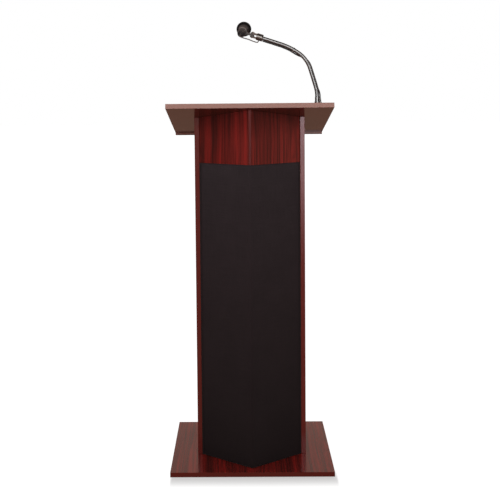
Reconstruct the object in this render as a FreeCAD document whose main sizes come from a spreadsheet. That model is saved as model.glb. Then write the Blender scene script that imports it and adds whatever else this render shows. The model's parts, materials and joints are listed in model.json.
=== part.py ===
import FreeCAD, Part
import Sketcher
import math
import os

# Floor-standing sound lectern: a wooden cabinet on a flat base, with a V-shaped (prow) front, a
# cloth loudspeaker grille below, mahogany boards above, a sloping reading top with a paper stop,
# and a gooseneck microphone.
# Millimetres, +Z up. The audience is on the -Y side (the front), the speaker stands on the +Y side
# (the rear), and +X is to the right for the audience. The parts are built about a point on the
# floor under the centre of the base, then moved in Y so that the whole footprint is centred.

Vector, Rotation, Placement = FreeCAD.Vector, FreeCAD.Rotation, FreeCAD.Placement
X, Y, Z = Vector(1, 0, 0), Vector(0, 1, 0), Vector(0, 0, 1)
doc = FreeCAD.newDocument("lectern")

# Driving dimensions: alias, value, meaning
TABLE = [
    ("width", 559, "width of base and reading top"),
    ("depth", 432, "depth of base, and of the top seen in plan"),
    ("board", 16, "panel thickness"),
    ("glide", 4, "height of the base glides"),
    ("glide_dia", 24, "diameter of a glide"),
    ("top_front_z", 1270, "height of the top's upper arris at the audience edge"),
    ("top_front_y", -212, "place of the top's audience edge"),
    ("tilt", 13.5, "slope of the reading top, degrees"),
    ("top_slope", 433, "length of the reading board along its slope"),
    ("stop_thick", 12, "thickness of the paper stop"),
    ("stop_rise", 14, "height of the paper stop above the reading surface"),
    ("stop_drop", 7, "depth of the paper stop below the top's underside"),
    ("half_body", 192, "half width of the cabinet, outside"),
    ("body_front", -72, "front edge of the side panels"),
    ("body_rear", 176, "rear edge of the side panels"),
    ("prow", -188, "apex of the V front"),
    ("grille_top", 1062, "top of the cloth grille, underside of the upper front boards"),
    ("strip_half", 5.9, "half width of the corner strip on the upper apex"),
    ("baffle_set", 8, "baffle behind the plane of the front"),
    ("baffle_thick", 12, "baffle thickness"),
    ("frame_thick", 6, "grille frame thickness"),
    ("frame_rail", 26, "width of the grille frame's rails"),
    ("cloth_thick", 1.2, "grille cloth thickness"),
    ("cloth_set", 0.8, "cloth behind the plane of the front"),
    ("speaker_hole", 67, "radius of a loudspeaker cut-out"),
    ("speaker_rim", 76, "radius of a loudspeaker frame"),
    ("speaker_depth", 42, "depth of a loudspeaker basket"),
    ("magnet_r", 34, "radius of a magnet"),
    ("magnet_len", 16, "length of a magnet"),
    ("speaker_upper_z", 880, "height of the upper loudspeakers"),
    ("speaker_lower_z", 640, "height of the lower loudspeakers"),
    ("speaker_along", 112, "loudspeaker centre along the baffle from its side edge"),
    ("chamber_y", -40, "front of the chamber's back board"),
    ("rear_set", 166, "rear face of shelves, rail and fascia"),
    ("amp_shelf_z", 940, "underside of the amplifier shelf"),
    ("low_shelf_z", 520, "underside of the lower shelf"),
    ("rail_height", 80, "height of the bottom rail"),
    ("panel_w", 300, "control panel width"),
    ("panel_tall", 120, "control panel height"),
    ("panel_thick", 2, "control panel thickness"),
    ("panel_z", 1056, "control panel centre height"),
    ("window_w", 280, "fascia cut-out width"),
    ("window_tall", 100, "fascia cut-out height"),
    ("chassis_w", 270, "amplifier chassis width"),
    ("chassis_tall", 92, "amplifier chassis height"),
    ("chassis_deep", 110, "amplifier chassis depth"),
    ("sheet_metal", 1.2, "sheet metal thickness"),
    ("knob_r", 10.5, "control knob radius"),
    ("knob_len", 15, "control knob length"),
    ("spindle_r", 3, "knob spindle radius"),
    ("run_gap", 0.05, "running clearance, radial"),
    ("screw_r", 2, "wood screw radius"),
    ("screw_len", 38, "base screw length"),
    ("screw_head_r", 4.1, "wood screw head radius"),
    ("jack_bore", 3.2, "quarter-inch jack bore radius"),
    ("jack_len", 30, "jack length, outer face to inner end"),
    ("neck_x", 228.6, "gooseneck axis, from the centre line"),
    ("neck_y", 60, "gooseneck axis, from the audience edge along the slope"),
    ("neck_foot", 36, "straight foot of the gooseneck, above the reading surface"),
    ("tube_r", 6.5, "gooseneck radius"),
    ("joint_gap", 1.7, "gap between neighbouring gooseneck lengths"),
    ("ball_r", 4.5, "gooseneck joint ball radius"),
    ("flange_r", 19, "mounting flange radius"),
    ("flange_thick", 3, "mounting flange thickness"),
    ("collar_len", 22, "clip collar length"),
    ("collar_r", 12, "clip collar radius"),
    ("pivot_reach", 37, "clip pivot from the foot of the collar"),
    ("mic_reach", 37.2, "microphone axis from the clip pivot"),
    ("mic_heading", 4.8, "microphone heading, degrees from +Y towards +X"),
    ("mic_elevation", 11.1, "microphone elevation, degrees"),
    ("mic_r", 13.9, "microphone grip radius"),
    ("mic_tail", 55.4, "tail of the microphone behind the clip"),
    ("mic_ball_at", 82, "centre of the microphone's grille ahead of the clip"),
    ("mic_ball_r", 25.5, "microphone grille radius"),
    ("cable_r", 2.5, "microphone cable radius"),
    ("jack_x", 241, "microphone jack, from the centre line"),
    ("jack_y", 88, "microphone jack, from the audience edge along the slope"),
    ("jack_hole", 14, "depth of the blind hole for the microphone jack"),
    ("mini_bore", 1.85, "bore radius of the 3.5 mm microphone jack"),
]


# ---------------------------------------------------------------- sizes tied to the sheet
class Size:
    """A number that also remembers the sheet expression it came from."""

    def __init__(self, val, text):
        self.val = float(val)
        self.text = text

    def __add__(self, other):
        other = size(other)
        return Size(self.val + other.val, "(%s + %s)" % (self.text, other.text))

    __radd__ = __add__

    def __sub__(self, other):
        other = size(other)
        return Size(self.val - other.val, "(%s - %s)" % (self.text, other.text))

    def __rsub__(self, other):
        return size(other) - self

    def __mul__(self, other):
        other = size(other)
        return Size(self.val * other.val, "(%s * %s)" % (self.text, other.text))

    __rmul__ = __mul__

    def __truediv__(self, other):
        other = size(other)
        return Size(self.val / other.val, "(%s / %s)" % (self.text, other.text))

    def __neg__(self):
        return Size(-self.val, "(0 - %s)" % self.text)


def size(value):
    return value if isinstance(value, Size) else Size(value, "(%.6f)" % float(value))


def trig(name, angle):
    """Sine, cosine or tangent of an angle in degrees."""
    return Size(getattr(math, name)(math.radians(angle.val)), "%s(%s)" % (name, angle.text))


def hypotenuse(a, b):
    text = "sqrt(%s * %s + %s * %s)" % (a.text, a.text, b.text, b.text)
    return Size(math.hypot(a.val, b.val), text)


class Dimensions:
    """Holds each driving dimension as a Size, under its alias."""


dim = Dimensions()
sheet = doc.addObject("Spreadsheet::Sheet", "Dims")
for row, (alias, number, meaning) in enumerate(TABLE, start=1):
    sheet.set("A%d" % row, meaning)
    sheet.set("B%d" % row, str(number))
    sheet.setAlias("B%d" % row, alias)
    setattr(dim, alias, Size(number, "Dims." + alias))
doc.recompute()


# ---------------------------------------------------------------- modelling helpers
def bind(obj, prop, value):
    """Give a property its value, as an expression when it is a Size."""
    if isinstance(value, Size):
        obj.setExpression(prop, value.text)
    else:
        setattr(obj, prop, value)


def place(obj, x, y, z, rotation=None):
    x, y, z = size(x), size(y), size(z)
    obj.Placement = Placement(Vector(x.val, y.val, z.val), rotation or Rotation())
    for axis, value in (("x", x), ("y", y), ("z", z)):
        if "Dims." in value.text:
            obj.setExpression("Placement.Base." + axis, value.text)
    return obj


def new_body(label):
    return doc.addObject("PartDesign::Body", label)


def new_sketch(body, role, name):
    sketch = body.newObject("Sketcher::SketchObject", name)
    planes = [f for f in body.Origin.OriginFeatures if f.Role == role]
    sketch.AttachmentSupport = [(planes[0], "")]
    sketch.MapMode = "FlatFace"
    return sketch


def constrain(sketch, kind, args, value, name):
    value = size(value)
    if kind in ("DistanceX", "DistanceY") and abs(value.val) < 1e-9:
        # a point with no offset sits on the sketch's own axis
        axis = -2 if kind == "DistanceX" else -1
        sketch.addConstraint(Sketcher.Constraint("PointOnObject", args[2], args[3], axis))
        return
    index = sketch.addConstraint(Sketcher.Constraint(kind, *args, value.val))
    sketch.renameConstraint(index, name)
    if "Dims." in value.text:
        sketch.setExpression("Constraints." + name, value.text)


def draw_loop(sketch, points, tag):
    """Closed polygon whose every corner is dimensioned from the sketch's origin."""
    base = sketch.GeometryCount
    count = len(points)
    corners = [Vector(size(x).val, size(y).val, 0) for x, y in points]
    for i in range(count):
        sketch.addGeometry(Part.LineSegment(corners[i], corners[(i + 1) % count]), False)
    for i in range(count):
        following = base + (i + 1) % count
        sketch.addConstraint(Sketcher.Constraint("Coincident", base + i, 2, following, 1))
    for i, (x, y) in enumerate(points):
        constrain(sketch, "DistanceX", (-1, 1, base + i, 1), x, "%s_x%d" % (tag, i))
        constrain(sketch, "DistanceY", (-1, 1, base + i, 1), y, "%s_y%d" % (tag, i))


def draw_circle(sketch, x, y, radius, tag):
    centre = Vector(size(x).val, size(y).val, 0)
    index = sketch.addGeometry(Part.Circle(centre, Z, size(radius).val), False)
    constrain(sketch, "DistanceX", (-1, 1, index, 3), x, tag + "_cx")
    constrain(sketch, "DistanceY", (-1, 1, index, 3), y, tag + "_cy")
    constrain(sketch, "Radius", (index,), radius, tag + "_rad")


def extrude(kind, body, role, name, length, outlines, circles=(), midplane=False, flip=False,
            lift=0):
    """Pad or pocket of outlines and (x, y, radius) circles drawn lift above an origin plane."""
    sketch = new_sketch(body, role, name + "_sketch")
    if lift:
        sketch.AttachmentOffset = Placement(Vector(0, 0, lift), Rotation())
    for i, outline in enumerate(outlines):
        draw_loop(sketch, outline, "outline%d" % i)
    for i, circle in enumerate(circles):
        draw_circle(sketch, *circle, "circle%d" % i)
    feature = body.newObject("PartDesign::" + kind, name)
    feature.Profile = sketch
    bind(feature, "Length", length)
    feature.Midplane = midplane
    feature.Reversed = flip


def pad(*args, **options):
    extrude("Pad", *args, **options)


def pocket(*args, **options):
    extrude("Pocket", *args, **options)


def rectangle(x, y, across, tall):
    """Corners of a rectangle centred on x, y."""
    left, right = x - across / 2, x + across / 2
    low, high = y - tall / 2, y + tall / 2
    return [(left, low), (right, low), (right, high), (left, high)]


def turned(label, profile):
    """Solid of revolution about its own Z from a profile of (radius, height) corners."""
    body = new_body(label)
    sketch = new_sketch(body, "XZ_Plane", "turn_sketch")
    draw_loop(sketch, profile, "profile")
    feature = body.newObject("PartDesign::Revolution", "turn")
    feature.Profile = sketch
    feature.ReferenceAxis = (sketch, ["V_Axis"])
    feature.Angle = 360
    return body


def box(name, length, width, height, x=0, y=0, z=0, rotation=None):
    obj = doc.addObject("Part::Box", name)
    bind(obj, "Length", size(length))
    bind(obj, "Width", size(width))
    bind(obj, "Height", size(height))
    return place(obj, x, y, z, rotation)


def cylinder(name, radius, length, x=0, y=0, z=0, rotation=None):
    obj = doc.addObject("Part::Cylinder", name)
    bind(obj, "Radius", size(radius))
    bind(obj, "Height", size(length))
    return place(obj, x, y, z, rotation)


def sphere(name, radius, x=0, y=0, z=0):
    obj = doc.addObject("Part::Sphere", name)
    bind(obj, "Radius", size(radius))
    return place(obj, x, y, z)


def fuse(label, *parts):
    obj = doc.addObject("Part::MultiFuse", label)
    obj.Shapes = list(parts)
    return obj


def cut(label, base, *tools):
    tool = fuse(label + "_tools", *tools) if len(tools) > 1 else tools[0]
    obj = doc.addObject("Part::Cut", label)
    obj.Base, obj.Tool = base, tool
    return obj


def copies(label, source, placements):
    """Identical loose pieces: one source shape, linked once for each placement."""
    links = []
    for i, placement in enumerate(placements):
        link = doc.addObject("App::Link", "%s_no%d" % (label, i + 1))
        link.LinkedObject = source
        link.LinkTransform = False
        link.Placement = placement
        links.append(link)
    obj = doc.addObject("Part::Compound", label)
    obj.Links = links
    return obj


pieces = []
keep = pieces.append

# ---------------------------------------------------------------- shared geometry
tilt_cos, tilt_sin, tilt_tan = (trig(name, dim.tilt) for name in ("cos", "sin", "tan"))
TILT = Rotation(Vector(-1, 0, 0), dim.tilt.val)
half_width = dim.width / 2
floor_z = dim.glide + dim.board             # upper face of the base
inner_x = dim.half_body - dim.board         # inside face of a side panel
v_depth = dim.body_front - dim.prow         # depth of the V
v_slope = v_depth / inner_x
flank = hypotenuse(inner_x, v_depth)        # length of one outer plane of the V
v_cos = inner_x / flank                     # cosine of the V's angle in plan
grille_height = dim.grille_top - floor_z


def under_top(y):
    """Height of the reading top's underside above the point y."""
    return dim.top_front_z - dim.board / tilt_cos - (y - dim.top_front_y) * tilt_tan


def on_top(obj, x, along, above):
    """Place an object on the sloping top: along the slope, and above it square to it."""
    y = dim.top_front_y + along * tilt_cos + above * tilt_sin
    z = dim.top_front_z - along * tilt_sin + above * tilt_cos
    return place(obj, x, y, z, TILT)


def top_point(x, along, above):
    edge = Vector(x, dim.top_front_y.val, dim.top_front_z.val)
    return edge + TILT.multVec(Vector(0, along, above))


def v_board(setback, thick, sign, x_in=0):
    """Plan section of a board along one side of the V, setback behind the outer plane."""
    offset = size(setback) / v_cos
    thick_y = size(thick) / v_cos
    y_in = dim.prow + offset + x_in * v_slope
    y_out = dim.body_front + offset
    return [(inner_x * sign, y_out), (x_in * sign, y_in),
            (x_in * sign, y_in + thick_y), (inner_x * sign, y_out + thick_y)]


# ---------------------------------------------------------------- base
GLIDE_X, GLIDE_Y = 245, 182
side_screw_x = dim.half_body - dim.board / 2
rail_screw_y = dim.rear_set - dim.board / 2
base_holes = [(side_screw_x * sign, y) for sign in (-1, 1) for y in (-45, 50, 145)]
base_holes += [(x, rail_screw_y) for x in (-95, 95)]


def make_base_plate():
    body = new_body("base_plate")
    pad(body, "XY_Plane", "board", dim.board, [rectangle(0, 0, dim.width, dim.depth)])
    pocket(body, "XY_Plane", "screw_holes", dim.board, [],
           [(x, y, dim.screw_r + 0.1) for x, y in base_holes], flip=True)
    pocket(body, "XY_Plane", "counterbores", 4, [],
           [(x, y, dim.screw_head_r + 0.2) for x, y in base_holes], flip=True)
    doc.recompute()
    keep(place(body, 0, 0, dim.glide))


def make_base_glides():
    radius = dim.glide_dia / 2
    master = turned("base_glides_master", [
        (0, 0), (radius - 2, 0), (radius, dim.glide), (0, dim.glide)])
    keep(copies("base_glides", master, [
        Placement(Vector(x, y, 0), Rotation())
        for x in (-GLIDE_X, GLIDE_X) for y in (-GLIDE_Y, GLIDE_Y)]))


def make_base_screws():
    """Countersunk screws driven upwards, their heads inside the counterbores."""
    master = turned("base_screw_master", [
        (0, 0), (dim.screw_head_r, 0), (dim.screw_head_r, 2), (dim.screw_r, 3.4),
        (dim.screw_r, dim.screw_len - 4), (0, dim.screw_len)])
    head_z = dim.glide.val + 0.6
    keep(copies("base_screws", master, [
        Placement(Vector(size(x).val, size(y).val, head_z), Rotation()) for x, y in base_holes]))


# ---------------------------------------------------------------- cabinet boards
def make_side_panels():
    front, rear = dim.body_front, dim.body_rear
    for label, x in (("side_panel_left", -dim.half_body), ("side_panel_right", inner_x)):
        body = new_body(label)
        pad(body, "YZ_Plane", "board", dim.board, [[
            (front, floor_z), (rear, floor_z), (rear, under_top(rear)),
            (front, under_top(front))]])
        keep(place(body, x, 0, 0))


def upper_front_piece(label, feature, outline):
    """Upright piece above the grille, its upper end cut to the reading top's slope."""
    body = new_body(label)
    pad(body, "XY_Plane", feature, under_top(dim.prow) - dim.grille_top, [outline])
    front, rear = dim.prow - 20, dim.body_front + 40
    front_z = under_top(front) - dim.grille_top
    rear_z = under_top(rear) - dim.grille_top
    wedge = [(front, front_z), (rear, rear_z), (rear, front_z + 40), (front, front_z + 40)]
    pocket(body, "YZ_Plane", "slope_cut", dim.width, [wedge], midplane=True)
    keep(place(body, 0, 0, dim.grille_top))


def make_upper_front():
    half = dim.strip_half
    for label, sign in (("upper_front_left", -1), ("upper_front_right", 1)):
        upper_front_piece(label, "board", v_board(0, dim.board, sign, half))
    edge_y = dim.prow + half * v_slope
    nose_half, nose_y = half - 1.2, edge_y - 2.2
    rear_y = edge_y + dim.board / v_cos
    upper_front_piece("prow_corner_strip", "strip", [
        (-half, edge_y), (-nose_half, nose_y), (nose_half, nose_y),
        (half, edge_y), (half, rear_y), (-half, rear_y)])


# ---------------------------------------------------------------- grille, baffles, loudspeakers
SIDES = (("left", -1), ("right", 1))
FRAME_WINDOWS = ((60, 520), (560, 1030))     # lower and upper edge of each window
TOOL_BACK = 30                               # reach of a window tool on each side of the front
CLOTH_END_GAP = 0.3


def v_frame(sign):
    """Outward normal of one side of the V, direction from its side edge to the apex, the edge."""
    angle = math.atan2(v_depth.val, inner_x.val)
    normal = Vector(sign * math.sin(angle), -math.cos(angle), 0)
    run = Vector(-sign * math.cos(angle), -math.sin(angle), 0)
    return normal, run, Vector(sign * inner_x.val, dim.body_front.val, 0)


def speaker_centres(sign):
    """Loudspeaker centres in the outer plane of one side of the V."""
    normal, run, edge = v_frame(sign)
    return [edge + run * dim.speaker_along.val + Z * height.val
            for height in (dim.speaker_upper_z, dim.speaker_lower_z)]


def make_baffles():
    for side, sign in SIDES:
        body = new_body("baffle_%s_board" % side)
        outline = v_board(dim.baffle_set, dim.baffle_thick, sign)
        pad(body, "XY_Plane", "board", grille_height, [outline])
        place(body, 0, 0, floor_z)
        normal = v_frame(sign)[0]
        tools = []
        for centre in speaker_centres(sign):
            start = centre - normal * 40
            tools.append(cylinder("cutout_%s_%d" % (side, centre.z), dim.speaker_hole, 60,
                                  start.x, start.y, start.z, Rotation(Z, normal)))
        keep(cut("baffle_" + side, body, *tools))


def make_grille_frames():
    window_width = flank - dim.frame_rail * 2 - 8
    for side, sign in SIDES:
        body = new_body("grille_frame_%s_board" % side)
        outline = v_board(dim.baffle_set - dim.frame_thick, dim.frame_thick, sign, 1)
        pad(body, "XY_Plane", "board", grille_height - 1, [outline])
        place(body, 0, 0, floor_z)
        normal, run, edge = v_frame(sign)
        along = Rotation(Z, math.degrees(math.atan2(run.y, run.x)))
        corner = edge + run * dim.frame_rail.val - along.multVec(Y) * TOOL_BACK
        windows = [box("window_%s_%d" % (side, i), window_width, TOOL_BACK * 2, high - low,
                       corner.x, corner.y, low, along)
                   for i, (low, high) in enumerate(FRAME_WINDOWS)]
        keep(cut("grille_frame_" + side, body, *windows))


def make_grille_cloth():
    body = new_body("grille_cloth")
    offset = dim.cloth_set / v_cos
    thick_y = dim.cloth_thick / v_cos
    end_x = inner_x - CLOTH_END_GAP
    end_y = dim.body_front + offset - v_slope * CLOTH_END_GAP
    apex_y = dim.prow + offset
    pad(body, "XY_Plane", "sheet", grille_height - 1, [[
        (-end_x, end_y), (0, apex_y), (end_x, end_y),
        (end_x, end_y + thick_y), (0, apex_y + thick_y), (-end_x, end_y + thick_y)]])
    keep(place(body, 0, 0, floor_z + 0.5))


def make_loudspeakers():
    """Frames, cones and magnets, four of each, seated on the backs of the baffles."""
    seats = []
    for side, sign in SIDES:
        normal = v_frame(sign)[0]
        back = normal * (dim.baffle_set.val + dim.baffle_thick.val)
        seats += [Placement(centre - back, Rotation(Z, normal))
                  for centre in speaker_centres(sign)]
    rim, deep = dim.speaker_rim, -dim.speaker_depth
    # (radius, height) profiles, heights outwards from the back of the baffle
    frame = [(rim - 10, 0), (rim, 0), (rim, -2), (rim - 8.2, -2), (39, deep + 2), (39, deep),
             (16, deep), (16, deep + 1.5), (37.5, deep + 1.5), (rim - 10, -3)]
    cone = [(0, -20), (10, -22), (16, -29), (56, -5), (60, -2.6), (64, -4), (64, -5),
            (60, -3.6), (56, -6.2), (16, -31), (10, -24), (0, -22)]
    magnet_end = deep - dim.magnet_len
    magnet = [(0, magnet_end), (dim.magnet_r, magnet_end), (dim.magnet_r, deep), (0, deep)]
    for name, profile in (("frame", frame), ("cone", cone), ("magnet", magnet)):
        master = turned("speaker_%s_master" % name, profile)
        keep(copies("speaker_%ss" % name, master, seats))


# ---------------------------------------------------------------- inner boards
def make_inner_boards():
    across = inner_x * 2
    keep(box("chamber_back", across, dim.board, grille_height - 6,
             -inner_x, dim.chamber_y, floor_z))
    shelf_y = dim.chamber_y + dim.board
    for name, z in (("amp_shelf", dim.amp_shelf_z), ("lower_shelf", dim.low_shelf_z)):
        keep(box(name, across, dim.rear_set - shelf_y, dim.board, -inner_x, shelf_y, z))
    keep(box("bottom_rail", across, dim.board, dim.rail_height,
             -inner_x, dim.rear_set - dim.board, floor_z))


def make_amp_fascia():
    body = new_body("amp_fascia")
    low_z = dim.amp_shelf_z + dim.board
    front, rear = dim.rear_set - dim.board, dim.rear_set
    pad(body, "YZ_Plane", "board", inner_x * 2, [[
        (front, low_z), (rear, low_z), (rear, under_top(rear)), (front, under_top(front))]],
        midplane=True)
    pocket(body, "XZ_Plane", "window", dim.rear_set * 3,
           [rectangle(0, dim.panel_z, dim.window_w, dim.window_tall)], midplane=True)
    keep(body)


# ---------------------------------------------------------------- amplifier
# Rows are heights above the control panel's centre.
UPPER_ROW, LOWER_ROW = 16, -26
KNOBS = [(name, 110 - 50 * i)
         for i, name in enumerate(("knob_mic", "knob_line", "knob_bass", "knob_treble"))]
LINE_JACK_X = -90
SWITCH_X = -125
LAMP_X = -85
INLET_X, INLET_ROW = 95, -28
TRANSFORMER_X, TRANSFORMER_ROW = 77, -21.8
SWITCH_W, SWITCH_TALL = 16, 26
INLET_W, INLET_TALL = 40.6, 22.6
CIRCUIT_ROW, CIRCUIT_THICK = -40, 1.6        # underside and thickness of the circuit board
OUTWARD = Rotation(X, -90)                   # turns local Z to +Y, out of the control panel


def on_panel(obj, x, row):
    return place(obj, x, dim.rear_set, dim.panel_z + row, OUTWARD)


def panel_box(name, across, deep, tall, x, front, row):
    """Box centred on x and row, its front face measured from the fascia's rear face."""
    return box(name, across, deep, tall,
               x - across / 2, dim.rear_set + front, dim.panel_z + row - tall / 2)


def make_control_panel():
    body = new_body("control_panel")
    holes = [(x, UPPER_ROW, 3.7) for name, x in KNOBS]
    holes += [(LINE_JACK_X, UPPER_ROW, 5.1), (LAMP_X, LOWER_ROW, 4.1)]
    pad(body, "XZ_Plane", "sheet", dim.panel_thick, [
        rectangle(0, 0, dim.panel_w, dim.panel_tall),
        rectangle(SWITCH_X, LOWER_ROW, SWITCH_W + 0.2, SWITCH_TALL + 0.2),
        rectangle(INLET_X, INLET_ROW, INLET_W + 0.4, INLET_TALL + 0.4)], holes)
    keep(place(body, 0, dim.rear_set + dim.panel_thick, dim.panel_z))


def make_amp_chassis():
    """Sheet metal box, open at the rear, with a row of slots in its upper wall."""
    wall = dim.sheet_metal
    across, deep, tall = dim.chassis_w, dim.chassis_deep, dim.chassis_tall
    outer = panel_box("chassis_outer", across, deep, tall, 0, -deep, 0)
    inner = panel_box("chassis_inner", across - wall * 2, deep, tall - wall * 2,
                      0, wall - deep, 0)
    vents = [panel_box("vent_%d" % i, 3, 70, 20, -98.5 + 10 * i, -95, tall / 2)
             for i in range(8)]
    keep(cut("amp_chassis", outer, inner, *vents))


def make_circuit_board():
    low_z = dim.panel_z + CIRCUIT_ROW
    part_z = low_z + CIRCUIT_THICK
    board = box("pcb", 160, 78, CIRCUIT_THICK, -128, dim.rear_set - 100, low_z)
    capacitors = [cylinder("capacitor_%d" % i, 8, 24, -110 + 22 * i, dim.rear_set - 88, part_z)
                  for i in range(3)]
    chip = box("output_chip", 30, 5, 22, -40, dim.rear_set - 96, part_z)
    keep(fuse("amp_circuit_board", board, chip, *capacitors))


def make_transformer():
    core = panel_box("core", 54, 34, 46, TRANSFORMER_X, -92, TRANSFORMER_ROW)
    coil = panel_box("coil", 34, 52, 30, TRANSFORMER_X, -101, TRANSFORMER_ROW)
    keep(fuse("transformer", core, coil))


def make_potentiometers():
    master = turned("potentiometer_master", [
        (3.05, -12), (8.5, -12), (8.5, -0.2), (3.6, -0.2), (3.6, 3.2), (3.05, 3.2)])
    z = dim.panel_z.val + UPPER_ROW
    keep(copies("potentiometers", master, [
        Placement(Vector(x, dim.rear_set.val, z), OUTWARD) for name, x in KNOBS]))


def make_knobs():
    """Skirted knobs on their spindles, each with a pointer line cut in its face."""
    grip, skirt = dim.knob_r, dim.knob_r + 1.5
    shoulder, face = dim.knob_len + 3.4, dim.knob_len + 4.2
    for name, x in KNOBS:
        body = turned(name, [
            (0, -9.5), (dim.spindle_r, -9.5), (dim.spindle_r, 4.2), (skirt, 4.2), (skirt, 6.5),
            (grip, 7.5), (grip - 0.8, shoulder), (grip - 2, face), (0, face)])
        pocket(body, "XY_Plane", "pointer", 3, [rectangle(0, 7.75, 1.4, 9.5)],
               flip=True, lift=shoulder.val)
        doc.recompute()
        keep(on_panel(body, x, UPPER_ROW))


def make_power_switch():
    solid = fuse(
        "switch_solid",
        panel_box("switch_body", SWITCH_W, 18, SWITCH_TALL, SWITCH_X, -16, LOWER_ROW),
        panel_box("switch_bezel", 20, 2, 30, SWITCH_X, dim.panel_thick, LOWER_ROW))
    cavity = panel_box("switch_cavity", 11, 18, 21.4, SWITCH_X, -8, LOWER_ROW)
    keep(cut("power_switch_housing", solid, cavity))

    rocker = new_body("power_rocker")
    pad(rocker, "YZ_Plane", "rocker", 10.8, [[
        (-3.5, -8), (-3.5, 8), (3.2, 9.9), (1.0, 0.6), (1.0, -0.6), (3.2, -9.9)]],
        midplane=True)
    keep(place(rocker, SWITCH_X, dim.rear_set + dim.panel_thick + 0.6,
               dim.panel_z + LOWER_ROW, Rotation(X, -9)))


def make_power_lamp():
    lamp = turned("power_lamp", [
        (0, -8), (4, -8), (4, 2.02), (5, 2.02), (4.6, 4), (2.5, 5.2), (0, 5.6)])
    keep(on_panel(lamp, LAMP_X, LOWER_ROW))


def make_mains_inlet():
    solid = fuse(
        "inlet_solid",
        panel_box("inlet_flange", 50, 2, 31, INLET_X, dim.panel_thick, INLET_ROW),
        panel_box("inlet_body", INLET_W, 20, INLET_TALL, INLET_X, -18, INLET_ROW))
    cavity = panel_box("inlet_cavity", 27, 16, 17, INLET_X, -12, INLET_ROW)
    pins = [panel_box("inlet_pin_%d" % i, 2, 12, 4, INLET_X + x, -13, INLET_ROW + z)
            for i, (x, z) in enumerate(((-7, -2), (7, -2), (0, 2)))]
    keep(fuse("mains_inlet", cut("inlet_shell", solid, cavity), *pins))


def make_line_jack():
    outer = 4.5
    inner = outer - dim.jack_len
    jack = turned("line_jack", [
        (dim.jack_bore, outer), (dim.jack_bore, inner), (7, inner), (7, -0.2), (5, -0.2),
        (5, 2.02), (7.5, 2.02), (6.8, outer)])
    keep(on_panel(jack, LINE_JACK_X, UPPER_ROW))


# ---------------------------------------------------------------- reading top
BRACKET = 26                # leg length and width of a bracket
BRACKET_THICK = 2
BRACKET_HOLE = 16           # screw hole from the bracket's corner
BRACKETS_AT = (185, 335)    # front edge of each pair of brackets, along the slope


def make_reading_top():
    body = new_body("reading_top")
    outline = [(-half_width, 0), (half_width, 0),
               (half_width, dim.top_slope), (-half_width, dim.top_slope)]
    pad(body, "XY_Plane", "board", dim.board, [outline], flip=True)
    pocket(body, "XY_Plane", "jack_hole", dim.jack_hole, [], [(dim.jack_x, dim.jack_y, 6.1)])
    pocket(body, "XY_Plane", "wire_hole", dim.board + 4, [], [(dim.jack_x, dim.jack_y, 1.6)])
    doc.recompute()
    keep(on_top(body, 0, 0, 0))


def make_paper_stop():
    stop = box("paper_stop", dim.width, dim.stop_thick,
               dim.stop_rise + dim.stop_drop + dim.board)
    keep(on_top(stop, -half_width, dim.top_slope, -dim.board - dim.stop_drop))


def make_top_brackets():
    """Angle brackets between the side panels and the top, with a screw in each leg."""
    leg, thick, middle = BRACKET, BRACKET_THICK, BRACKET / 2
    bracket = new_body("bracket_master")
    pad(bracket, "XZ_Plane", "angle", leg, [[
        (0, 0), (leg, 0), (leg, -thick), (thick, -thick), (thick, -leg), (0, -leg)]])
    hole_r = dim.screw_r - 0.2
    pocket(bracket, "XY_Plane", "hole_up", 10, [], [(BRACKET_HOLE, -middle, hole_r)],
           midplane=True)
    pocket(bracket, "YZ_Plane", "hole_side", 10, [], [(-middle, -BRACKET_HOLE, hole_r)],
           midplane=True)
    doc.recompute()
    screw = turned("bracket_screw_master", [
        (0, -1.6), (3.4, -1.6), (3.4, 0), (1.75, 0), (1.75, 11), (0, 13)])

    seats, screws = [], []
    under = -dim.board.val
    for along in BRACKETS_AT:
        for sign in (-1, 1):
            x = sign * inner_x.val
            if sign < 0:
                seats.append(Placement(top_point(x, along + leg, under), TILT))
            else:
                # turned half round, so that its legs reach inwards from the right panel
                turn = TILT.multiply(Rotation(Z, 180))
                seats.append(Placement(top_point(x, along, under), turn))
            upward = top_point(x - sign * BRACKET_HOLE, along + middle, under - thick)
            sideways = top_point(x - sign * thick, along + middle, under - BRACKET_HOLE)
            screws.append(Placement(upward, TILT))
            screws.append(Placement(sideways, Rotation(Z, Vector(sign, 0, 0))))
    keep(copies("top_brackets", bracket, seats))
    keep(copies("bracket_screws", screw, screws))


# ---------------------------------------------------------------- gooseneck
# The neck's centreline above its foot, bending towards -X in its own plane:
# length of each arc, and the angle it turns through in degrees.
ARCS = [(34.0, 14.7), (67.0, 1.35), (67.0, 37.4), (67.0, 17.0), (66.0, 1.3), (10.0, 0.0)]
NECK_END = sum(length for length, turn in ARCS)
JOINTS = [0.0, 75.0, 150.0, 225.0, NECK_END]     # ends of the four lengths, along the line
FLANGE_SCREWS = [(14.6 * math.cos(math.radians(angle)), 14.6 * math.sin(math.radians(angle)))
                 for angle in (90, 210, 330)]


def walk(distance):
    """Point (x, and z square to the top) and heading in radians, along the neck's line."""
    x, z, heading = 0.0, dim.neck_foot.val, 0.0
    left = distance
    for length, turn in ARCS:
        step = min(left, length)
        if step <= 0:
            break
        bend = math.radians(turn) * step / length
        if abs(bend) < 1e-9:
            x -= step * math.sin(heading)
            z += step * math.cos(heading)
        else:
            radius = step / bend
            x -= radius * (math.cos(heading) - math.cos(heading + bend))
            z += radius * (math.sin(heading + bend) - math.sin(heading))
            heading += bend
        left -= step
    return x, z, heading


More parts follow.
